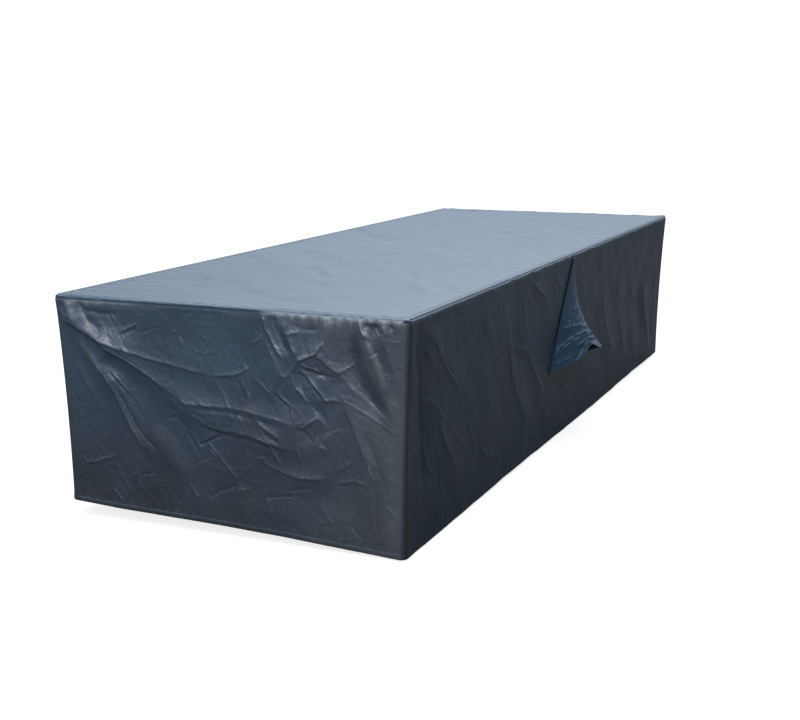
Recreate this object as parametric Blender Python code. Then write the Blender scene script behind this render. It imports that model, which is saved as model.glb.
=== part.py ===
"""Fitted cover of coated cloth, as it hangs when it is in use.

Six sewn pieces: the top, two end panels, two side panels, and a vent hood on
the right side panel. Every piece is a 2 mm sheet on its own folds. +Z is up,
+Y runs along the length, and +X is the side with the vent. The origin is on
the underside of the top, at its middle, where the cover is carried.
"""

import math

import bmesh
import bpy

# ---------------------------------------------------------------- sizes (m)
CLOTH = 0.002            # thickness of every sheet
GAP = 0.0003             # between neighbouring pieces
SEAM_TURN = 0.00023      # the rims at a corner seam lean this much towards each other
RIM_TILT = 0.00026       # and a panel's upper rim rises this much where a fold starts
HALF_WIDTH = 0.3745      # middle of the side panels, from the centre line
HALF_LENGTH = 1.0410     # middle of the end panels
CORNER_RADIUS = 0.014    # rounding of the four upright corners
TOP_Z = CLOTH / 2        # middle of the top sheet
LIP_DEPTH = 0.010        # how far the top turns down to its seam
SEAM_RIDGE = 0.0042      # how far the seam stands above the top
SEAM_INSET = 0.0050      # the seam's crest, in from the edge
GROOVE_INSET = 0.0100    # the stitched groove inside the seam
DRAW_IN = 0.0035         # the skirt hangs this far inside its seam at mid-height
LEAN_X = 0.0150          # and leans in towards its hem: the long sides
LEAN_Y = 0.0100          # and the ends
LEAN_DEPTH = 0.42        # over this height

HEM_Z = {                # lower edge at each upright corner
    "front_left": -0.4090,
    "front_right": -0.4350,
    "back_right": -0.4310,
    "back_left": -0.4150,
}
HEM_WAVE = 0.0018        # slow rise and fall of the hem

VENT_Y = -0.0250         # the hood sits a little before the middle of the side
VENT_TOP = -0.0125       # its apex, just under the seam
VENT_DROP = 0.2540       # height of the sewn sides
VENT_HALF_TOP = 0.0060   # half width at the apex
VENT_HALF_FOOT = 0.1500  # half width between the feet of the sewn sides
VENT_REACH = 0.0780      # how far the mouth stands out
VENT_CURVE = 2.2         # and how late the hood starts to do so
VENT_LIFT = 0.0400       # how far the mouth rises at its ridge
VENT_RIDGE = 0.58        # the ridge's place across the hood
VENT_FLANGE = 0.05       # share of the width that lies flat at each sewn side
VENT_CLEAR = 0.00075     # between the hood and the panel it is sewn to

# Folds: a ridge (height > 0) or hollow along one straight run. a is measured
# along the panel, left to right as seen from outside, from its middle; z is
# down from the top. above and below are the widths on the two sides.
FOLD_COLUMNS = ("a0", "z0", "a1", "z1", "height", "above", "below")
FRONT_FOLDS = (
    (-0.366, -0.018, -0.245, -0.088, 0.0110, 0.050, 0.022),  # drag from the corner
    (-0.245, -0.088, -0.020, -0.127, 0.0050, 0.040, 0.020),  # its long tail
    (-0.245, -0.095, -0.085, -0.190, 0.0080, 0.036, 0.022),  # lower branch
    (-0.085, -0.190, 0.150, -0.206, 0.0040, 0.030, 0.020),   # upper swag
    (-0.085, -0.205, 0.155, -0.252, 0.0060, 0.030, 0.022),   # lower swag
    (-0.300, -0.085, -0.250, -0.155, 0.0070, 0.030, 0.030),  # left flute
    (-0.250, -0.155, -0.105, -0.320, 0.0070, 0.024, 0.024),  # left flute, low end
    (0.285, -0.025, 0.335, -0.105, 0.0085, 0.028, 0.028),    # flute by the near corner
    (0.262, -0.150, 0.325, -0.390, 0.0060, 0.034, 0.030),    # low flute by the corner
    (0.125, -0.085, 0.205, -0.090, 0.0055, 0.042, 0.042),    # crumpled swell
    (-0.280, -0.032, -0.220, -0.058, -0.0060, 0.034, 0.034), # hollow beside the drag
    (0.280, -0.080, 0.300, -0.140, -0.0050, 0.030, 0.030),   # hollow by the flute
    (-0.050, -0.338, 0.220, -0.328, -0.0045, 0.050, 0.050),  # slack over the hem
)
RIGHT_FOLDS = (
    (-0.990, -0.050, -0.955, -0.300, -0.0060, 0.030, 0.030), # hollow behind the near corner
    (-0.920, -0.055, -0.790, -0.165, 0.0050, 0.026, 0.034),
    (-0.890, -0.195, -0.780, -0.340, 0.0050, 0.040, 0.040),
    (-0.640, -0.060, -0.600, -0.330, 0.0035, 0.060, 0.060),
    (-0.520, -0.110, -0.350, -0.330, 0.0065, 0.042, 0.042),  # long soft diagonal
    (-0.455, -0.040, -0.440, -0.160, -0.0050, 0.032, 0.032),
    (-0.370, -0.160, -0.200, -0.330, 0.0060, 0.040, 0.040),
    (-0.300, -0.040, -0.230, -0.090, 0.0050, 0.026, 0.026),  # pucker under the seam
    (0.290, -0.180, 0.420, -0.330, 0.0065, 0.042, 0.042),
    (0.470, -0.150, 0.560, -0.320, 0.0045, 0.048, 0.048),
    (0.620, -0.165, 0.700, -0.330, 0.0050, 0.045, 0.045),
    (0.730, -0.200, 0.780, -0.300, -0.0050, 0.036, 0.036),
    (0.800, -0.220, 0.880, -0.380, 0.0060, 0.040, 0.040),
)
BACK_FOLDS = (
    (-0.330, -0.040, -0.200, -0.180, 0.0070, 0.036, 0.036),
    (-0.160, -0.120, -0.100, -0.380, 0.0050, 0.046, 0.046),
    (0.040, -0.060, 0.090, -0.330, 0.0050, 0.050, 0.050),
    (0.340, -0.045, 0.230, -0.200, 0.0070, 0.036, 0.036),
    (0.220, -0.240, 0.260, -0.400, -0.0045, 0.044, 0.044),
)
LEFT_FOLDS = (
    (-0.960, -0.050, -0.860, -0.220, 0.0060, 0.038, 0.038),
    (-0.700, -0.080, -0.620, -0.340, 0.0050, 0.050, 0.050),
    (-0.430, -0.130, -0.330, -0.370, 0.0055, 0.046, 0.046),
    (-0.120, -0.060, -0.070, -0.330, 0.0045, 0.056, 0.056),
    (0.160, -0.120, 0.240, -0.380, 0.0055, 0.048, 0.048),
    (0.470, -0.070, 0.530, -0.330, 0.0050, 0.052, 0.052),
    (0.960, -0.050, 0.850, -0.240, 0.0065, 0.038, 0.038),
    (0.720, -0.200, 0.760, -0.390, -0.0045, 0.044, 0.044),
)
# The top: x, y pairs instead of a, z. It lies on something flat, so it stays low.
TOP_FOLDS = (
    (-0.330, -0.300, 0.020, -0.680, 0.0022, 0.060, 0.045),
    (0.000, -0.020, 0.190, -0.300, 0.0024, 0.060, 0.050),
    (-0.370, 0.310, -0.150, 0.080, -0.0024, 0.050, 0.050),
    (0.060, 0.620, 0.190, 0.290, 0.0024, 0.055, 0.050),
    (-0.250, 0.950, -0.120, 0.720, -0.0020, 0.050, 0.050),
    (0.240, 0.060, 0.300, -0.140, -0.0022, 0.050, 0.050),
    (-0.200, -0.760, 0.000, -0.960, -0.0020, 0.055, 0.055),
)

# Panels: direction of the panel, its outward normal, half its length, its
# distance from the centre, corners at its left and right ends, folds, and how
# many facets run along and down it.
PANEL_COLUMNS = ("along", "out", "half", "distance", "left", "right", "folds", "columns", "rows")
PANELS = {
    "front_panel": ((1, 0), (0, -1), HALF_WIDTH, HALF_LENGTH, "front_left", "front_right", FRONT_FOLDS, 26, 10),
    "side_panel_right": ((0, 1), (1, 0), HALF_LENGTH, HALF_WIDTH, "front_right", "back_right", RIGHT_FOLDS, 46, 8),
    "back_panel": ((-1, 0), (0, 1), HALF_WIDTH, HALF_LENGTH, "back_right", "back_left", BACK_FOLDS, 16, 7),
    "side_panel_left": ((0, -1), (-1, 0), HALF_LENGTH, HALF_WIDTH, "back_left", "front_left", LEFT_FOLDS, 32, 7),
}
CORNER_STEPS = 3         # facets in each half of an upright corner
TOP_CELLS = (12, 28)     # facets of the flat top, across and along

COLOURS = {              # linear colour, roughness
    "top_panel": ((0.060, 0.078, 0.102, 1.0), 0.48),
    "front_panel": ((0.052, 0.066, 0.088, 1.0), 0.52),
    "side_panel_right": ((0.050, 0.063, 0.084, 1.0), 0.52),
    "back_panel": ((0.052, 0.066, 0.088, 1.0), 0.52),
    "side_panel_left": ((0.050, 0.063, 0.084, 1.0), 0.52),
    "vent_hood": ((0.058, 0.084, 0.118, 1.0), 0.50),
}


# ---------------------------------------------------------------- helpers
def smooth(value):
    """0 below 0, 1 above 1, and an even S between."""
    value = min(1.0, max(0.0, value))
    return value * value * (3.0 - 2.0 * value)


def fold_height(rows, a, z):
    """Sum of the folds at one point of a panel."""
    total = 0.0
    for row in rows:
        fold = dict(zip(FOLD_COLUMNS, row))
        run_a, run_z = fold["a1"] - fold["a0"], fold["z1"] - fold["z0"]
        off_a, off_z = a - fold["a0"], z - fold["z0"]
        share = (off_a * run_a + off_z * run_z) / (run_a ** 2 + run_z ** 2)
        share = min(1.0, max(0.0, share))
        away = math.hypot(off_a - share * run_a, off_z - share * run_z)
        side = off_z * run_a - off_a * run_z
        width = fold["above"] if side * (1 if run_a >= 0 else -1) > 0 else fold["below"]
        total += fold["height"] * math.exp(-((away / width) ** 2))
    return total


def hem_z(x, y):
    """Height of the hem over the plan, blended between the four corners."""
    across = 0.5 + 0.5 * x / HALF_WIDTH
    along = 0.5 + 0.5 * y / HALF_LENGTH
    front = HEM_Z["front_left"] + (HEM_Z["front_right"] - HEM_Z["front_left"]) * across
    back = HEM_Z["back_left"] + (HEM_Z["back_right"] - HEM_Z["back_left"]) * across
    wave = HEM_WAVE * math.sin(9.0 * x + 1.0) * math.sin(5.2 * y + 0.6)
    return front + (back - front) * along + wave


def leaning(x, y, z):
    """A point of the skirt, drawn in towards the middle by how far down it is."""
    share = max(0.0, -z - LIP_DEPTH) / LEAN_DEPTH
    return (x * (1.0 - LEAN_X / HALF_WIDTH * share), y * (1.0 - LEAN_Y / HALF_LENGTH * share), z)


def wall(panel, a):
    """Plan point and outward normal of a panel at arc length a from its middle."""
    tx, ty = panel["along"]
    nx, ny = panel["out"]
    flat = panel["half"] - CORNER_RADIUS
    if abs(a) <= flat:
        return (nx * panel["distance"] + tx * a, ny * panel["distance"] + ty * a), (nx, ny)
    turn = (abs(a) - flat) / CORNER_RADIUS
    side = 1 if a > 0 else -1
    c, s = math.cos(turn), math.sin(turn) * side
    normal = (nx * c + tx * s, ny * c + ty * s)
    centre = (
        nx * (panel["distance"] - CORNER_RADIUS) + tx * side * flat,
        ny * (panel["distance"] - CORNER_RADIUS) + ty * side * flat,
    )
    return (centre[0] + normal[0] * CORNER_RADIUS, centre[1] + normal[1] * CORNER_RADIUS), normal


def vent_quiet(a, z):
    """1 on the flat patch that the hood is sewn to, 0 well away from it."""
    reach = VENT_HALF_TOP + (VENT_HALF_FOOT - VENT_HALF_TOP) * min(1.0, max(0.0, (VENT_TOP - z) / VENT_DROP))
    beside = smooth((reach + 0.060 - abs(a - VENT_Y)) / 0.045)
    under = smooth((z - (VENT_TOP - VENT_DROP - 0.055)) / 0.040)
    return beside * under


def panel_offset(panel, a, z):
    """How far the cloth stands out from its plan line."""
    flat = panel["half"] - CORNER_RADIUS
    down = -z - LIP_DEPTH
    hang = -DRAW_IN * math.sin(math.pi * min(1.0, max(0.0, down / 0.40))) ** 0.8
    calm = smooth(down / 0.030) * smooth((flat - abs(a)) / 0.030)
    if panel["vent"]:
        calm *= 1.0 - vent_quiet(a, z)
    return hang + calm * fold_height(panel["folds"], a, z)


def new_object(name, bm):
    """A sheet object: its middle surface, with the cloth's thickness put on by a Solidify."""
    bmesh.ops.recalc_face_normals(bm, faces=bm.faces)
    mesh = bpy.data.meshes.new(name)
    bm.to_mesh(mesh)
    bm.free()
    mesh.shade_smooth()
    obj = bpy.data.objects.new(name, mesh)
    bpy.context.scene.collection.objects.link(obj)
    thick = obj.modifiers.new("thickness", "SOLIDIFY")
    thick.thickness = CLOTH
    thick.offset = 0.0
    thick.use_even_offset = True
    thick.use_rim = True
    colour, roughness = COLOURS[name]
    material = bpy.data.materials.new(name)
    material.use_nodes = True
    shader = material.node_tree.nodes["Principled BSDF"]
    shader.inputs["Base Color"].default_value = colour
    shader.inputs["Roughness"].default_value = roughness
    shader.inputs["Metallic"].default_value = 0.0
    mesh.materials.append(material)
    return obj


def grid_faces(bm, grid):
    """Quads between neighbouring rows of vertices."""
    for upper, lower in zip(grid, grid[1:]):
        for i in range(len(upper) - 1):
            bm.faces.new((upper[i], lower[i], lower[i + 1], upper[i + 1]))


# ---------------------------------------------------------------- the pieces
def make_panel(name):
    """An end or side panel: it hangs from the top's lip and turns half of each corner."""
    panel = dict(zip(PANEL_COLUMNS, PANELS[name]))
    panel["vent"] = name == "side_panel_right"
    flat = panel["half"] - CORNER_RADIUS
    end = flat + CORNER_RADIUS * math.pi / 4 - GAP / 2 - SEAM_TURN
    stations = [-flat + 2 * flat * i / panel["columns"] for i in range(panel["columns"] + 1)]
    turns = [flat + (end - flat) * (i + 1) / CORNER_STEPS for i in range(CORNER_STEPS)]
    stations = [-a for a in reversed(turns)] + stations + turns
    top = -LIP_DEPTH - GAP - RIM_TILT
    bm = bmesh.new()
    grid = []
    for row in range(panel["rows"] + 1):
        share = (row / panel["rows"]) ** 1.15
        line = []
        for a in stations:
            (x, y), (nx, ny) = wall(panel, a)
            z = top + (hem_z(x, y) - top) * share
            out = panel_offset(panel, a, z)
            line.append(bm.verts.new(leaning(x + nx * out, y + ny * out, z)))
        grid.append(line)
    grid_faces(bm, grid)
    return new_object(name, bm)


def make_top():
    """The top: a flat middle, a stitched groove, the raised seam, and the lip that turns down."""
    across, along = TOP_CELLS
    inner_x, inner_y = HALF_WIDTH - CORNER_RADIUS, HALF_LENGTH - CORNER_RADIUS
    bm = bmesh.new()
    grid = []
    for j in range(along + 1):
        line = []
        for i in range(across + 1):
            x = -inner_x + 2 * inner_x * i / across
            y = -inner_y + 2 * inner_y * j / along
            edge = min(inner_x - abs(x), inner_y - abs(y))
            calm = smooth(edge / 0.040) * smooth((math.hypot(x, y) - 0.020) / 0.080)
            line.append(bm.verts.new((x, y, TOP_Z + calm * fold_height(TOP_FOLDS, x, y))))
        grid.append(line)
    grid_faces(bm, grid)
    # Once round the flat middle, with a fan of directions at each corner.
    spokes = []
    for i in range(across):
        spokes.append((grid[0][i], -90.0))
    for j in range(along):
        spokes.append((grid[j][across], 0.0))
    for i in range(across, 0, -1):
        spokes.append((grid[along][i], 90.0))
    for j in range(along, 0, -1):
        spokes.append((grid[j][0], 180.0))
    fans = {id(grid[0][0]): (-180.0, -90.0), id(grid[0][across]): (-90.0, 0.0),
            id(grid[along][across]): (0.0, 90.0), id(grid[along][0]): (90.0, 180.0)}
    rays = []
    for vertex, heading in spokes:
        if id(vertex) in fans:
            first, last = fans[id(vertex)]
            steps = 2 * CORNER_STEPS
            rays += [(vertex, first + (last - first) * k / steps) for k in range(steps + 1)]
        else:
            rays.append((vertex, heading))
    profile = (  # inset from the edge, height
        (GROOVE_INSET, TOP_Z - 0.0004),
        (SEAM_INSET + 0.0012, TOP_Z + SEAM_RIDGE - 0.0004),
        (SEAM_INSET - 0.0030, TOP_Z + SEAM_RIDGE - 0.0008),
        (0.0, TOP_Z - 0.0012),
        (0.0, -LIP_DEPTH),
    )
    rings = [[vertex for vertex, _ in rays]]
    for inset, height in profile:
        ring = []
        for vertex, heading in rays:
            reach = CORNER_RADIUS - inset
            angle = math.radians(heading)
            ring.append(bm.verts.new((vertex.co.x + reach * math.cos(angle), vertex.co.y + reach * math.sin(angle), height)))
        rings.append(ring)
    count = len(rays)
    for inner, outer in zip(rings, rings[1:]):
        for k in range(count):
            n = (k + 1) % count
            corners = [inner[k], outer[k], outer[n], inner[n]]
            if corners[0] is corners[3]:
                corners.pop()
            bm.faces.new(corners)
    return new_object("top_panel", bm)


def vent_point(across, down):
    """A point of the hood: across 0 to 1 between its sewn sides, down 0 to 1 from the apex to the mouth."""
    panel = dict(zip(PANEL_COLUMNS, PANELS["side_panel_right"]))
    panel["vent"] = True
    half = VENT_HALF_TOP + (VENT_HALF_FOOT - VENT_HALF_TOP) * down
    y = VENT_Y + (2 * across - 1) * half
    inner = (across - VENT_FLANGE) / (1 - 2 * VENT_FLANGE)
    if 0.0 < inner < 1.0:
        side = VENT_RIDGE if inner < VENT_RIDGE else 1 - VENT_RIDGE
        swell = 1.0 - (abs(inner - VENT_RIDGE) / side) ** 1.45
    else:
        swell = 0.0
    z = VENT_TOP - VENT_DROP * down + VENT_LIFT * down ** 2 * swell
    out = CLOTH + VENT_CLEAR + VENT_REACH * down ** VENT_CURVE * swell
    return leaning(HALF_WIDTH + panel_offset(panel, y, z) + out, y, z)


def make_vent():
    """The hood: a triangle sewn down two sides, whose mouth stands out and opens downwards."""
    across = [0.0, VENT_FLANGE] + [VENT_FLANGE + (1 - 2 * VENT_FLANGE) * k / 10 for k in range(1, 10)] + [1 - VENT_FLANGE, 1.0]
    bm = bmesh.new()
    grid = [[bm.verts.new(vent_point(s, row / 9)) for s in across] for row in range(10)]
    grid_faces(bm, grid)
    return new_object("vent_hood", bm)


def main():
    for obj in list(bpy.data.objects):
        bpy.data.objects.remove(obj)
    carrier = bpy.data.objects.new("cover", None)
    bpy.context.scene.collection.objects.link(carrier)
    pieces = [make_top()] + [make_panel(name) for name in PANELS] + [make_vent()]
    for piece in pieces:
        piece.parent = carrier


main()
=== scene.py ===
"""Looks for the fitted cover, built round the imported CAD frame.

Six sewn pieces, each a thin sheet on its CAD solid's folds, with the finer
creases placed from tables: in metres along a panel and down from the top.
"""
import math

import bpy
import numpy as np
from mathutils import Matrix, Vector, geometry


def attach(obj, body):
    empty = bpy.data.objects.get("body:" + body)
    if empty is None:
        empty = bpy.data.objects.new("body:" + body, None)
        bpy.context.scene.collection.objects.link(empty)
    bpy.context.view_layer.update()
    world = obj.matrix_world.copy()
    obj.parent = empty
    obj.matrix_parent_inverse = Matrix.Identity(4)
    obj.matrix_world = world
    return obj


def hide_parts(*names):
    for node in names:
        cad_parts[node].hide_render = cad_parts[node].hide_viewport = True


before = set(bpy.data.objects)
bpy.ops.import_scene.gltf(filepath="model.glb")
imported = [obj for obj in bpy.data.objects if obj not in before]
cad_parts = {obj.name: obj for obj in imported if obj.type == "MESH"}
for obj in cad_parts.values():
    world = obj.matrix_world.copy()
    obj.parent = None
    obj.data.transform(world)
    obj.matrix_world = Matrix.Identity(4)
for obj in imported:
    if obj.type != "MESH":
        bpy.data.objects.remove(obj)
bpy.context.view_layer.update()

# ---------------------------------------------------------------- sizes, as in the CAD (m)
CLOTH = 0.002
GAP = 0.0003
HALF_WIDTH = 0.3745
HALF_LENGTH = 1.0410
CORNER_RADIUS = 0.014
TOP_Z = CLOTH / 2
LIP_DEPTH = 0.010
DRAW_IN = 0.0035
LEAN_X = 0.0150
LEAN_Y = 0.0100
LEAN_DEPTH = 0.42
HEM_Z = {"front_left": -0.4090, "front_right": -0.4350, "back_right": -0.4310, "back_left": -0.4150}
HEM_WAVE = 0.0018
VENT_Y = -0.0250
VENT_TOP = -0.0125
VENT_DROP = 0.2540
VENT_HALF_TOP = 0.0060
VENT_HALF_FOOT = 0.1500
VENT_REACH = 0.0780
VENT_CURVE = 2.2
VENT_LIFT = 0.0400
VENT_RIDGE = 0.58
VENT_FLANGE = 0.05
VENT_CLEAR = 0.00075

FOLD_COLUMNS = ("a0", "z0", "a1", "z1", "height", "above", "below")
FRONT_FOLDS = (
    (-0.366, -0.018, -0.245, -0.088, 0.0110, 0.050, 0.022),
    (-0.245, -0.088, -0.020, -0.127, 0.0050, 0.040, 0.020),
    (-0.245, -0.095, -0.085, -0.190, 0.0080, 0.036, 0.022),
    (-0.085, -0.190, 0.150, -0.206, 0.0040, 0.030, 0.020),
    (-0.085, -0.205, 0.155, -0.252, 0.0060, 0.030, 0.022),
    (-0.300, -0.085, -0.250, -0.155, 0.0070, 0.030, 0.030),
    (-0.250, -0.155, -0.105, -0.320, 0.0070, 0.024, 0.024),
    (0.285, -0.025, 0.335, -0.105, 0.0085, 0.028, 0.028),
    (0.262, -0.150, 0.325, -0.390, 0.0060, 0.034, 0.030),
    (0.125, -0.085, 0.205, -0.090, 0.0055, 0.042, 0.042),
    (-0.280, -0.032, -0.220, -0.058, -0.0060, 0.034, 0.034),
    (0.280, -0.080, 0.300, -0.140, -0.0050, 0.030, 0.030),
    (-0.050, -0.338, 0.220, -0.328, -0.0045, 0.050, 0.050),
)
RIGHT_FOLDS = (
    (-0.990, -0.050, -0.955, -0.300, -0.0060, 0.030, 0.030),
    (-0.920, -0.055, -0.790, -0.165, 0.0050, 0.026, 0.034),
    (-0.890, -0.195, -0.780, -0.340, 0.0050, 0.040, 0.040),
    (-0.640, -0.060, -0.600, -0.330, 0.0035, 0.060, 0.060),
    (-0.520, -0.110, -0.350, -0.330, 0.0065, 0.042, 0.042),
    (-0.455, -0.040, -0.440, -0.160, -0.0050, 0.032, 0.032),
    (-0.370, -0.160, -0.200, -0.330, 0.0060, 0.040, 0.040),
    (-0.300, -0.040, -0.230, -0.090, 0.0050, 0.026, 0.026),
    (0.290, -0.180, 0.420, -0.330, 0.0065, 0.042, 0.042),
    (0.470, -0.150, 0.560, -0.320, 0.0045, 0.048, 0.048),
    (0.620, -0.165, 0.700, -0.330, 0.0050, 0.045, 0.045),
    (0.730, -0.200, 0.780, -0.300, -0.0050, 0.036, 0.036),
    (0.800, -0.220, 0.880, -0.380, 0.0060, 0.040, 0.040),
)
BACK_FOLDS = (
    (-0.330, -0.040, -0.200, -0.180, 0.0070, 0.036, 0.036),
    (-0.160, -0.120, -0.100, -0.380, 0.0050, 0.046, 0.046),
    (0.040, -0.060, 0.090, -0.330, 0.0050, 0.050, 0.050),
    (0.340, -0.045, 0.230, -0.200, 0.0070, 0.036, 0.036),
    (0.220, -0.240, 0.260, -0.400, -0.0045, 0.044, 0.044),
)
LEFT_FOLDS = (
    (-0.960, -0.050, -0.860, -0.220, 0.0060, 0.038, 0.038),
    (-0.700, -0.080, -0.620, -0.340, 0.0050, 0.050, 0.050),
    (-0.430, -0.130, -0.330, -0.370, 0.0055, 0.046, 0.046),
    (-0.120, -0.060, -0.070, -0.330, 0.0045, 0.056, 0.056),
    (0.160, -0.120, 0.240, -0.380, 0.0055, 0.048, 0.048),
    (0.470, -0.070, 0.530, -0.330, 0.0050, 0.052, 0.052),
    (0.960, -0.050, 0.850, -0.240, 0.0065, 0.038, 0.038),
    (0.720, -0.200, 0.760, -0.390, -0.0045, 0.044, 0.044),
)
TOP_FOLDS = (
    (-0.330, -0.300, 0.020, -0.680, 0.0022, 0.060, 0.045),
    (0.000, -0.020, 0.190, -0.300, 0.0024, 0.060, 0.050),
    (-0.370, 0.310, -0.150, 0.080, -0.0024, 0.050, 0.050),
    (0.060, 0.620, 0.190, 0.290, 0.0024, 0.055, 0.050),
    (-0.250, 0.950, -0.120, 0.720, -0.0020, 0.050, 0.050),
    (0.240, 0.060, 0.300, -0.140, -0.0022, 0.050, 0.050),
    (-0.200, -0.760, 0.000, -0.960, -0.0020, 0.055, 0.055),
)
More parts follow.
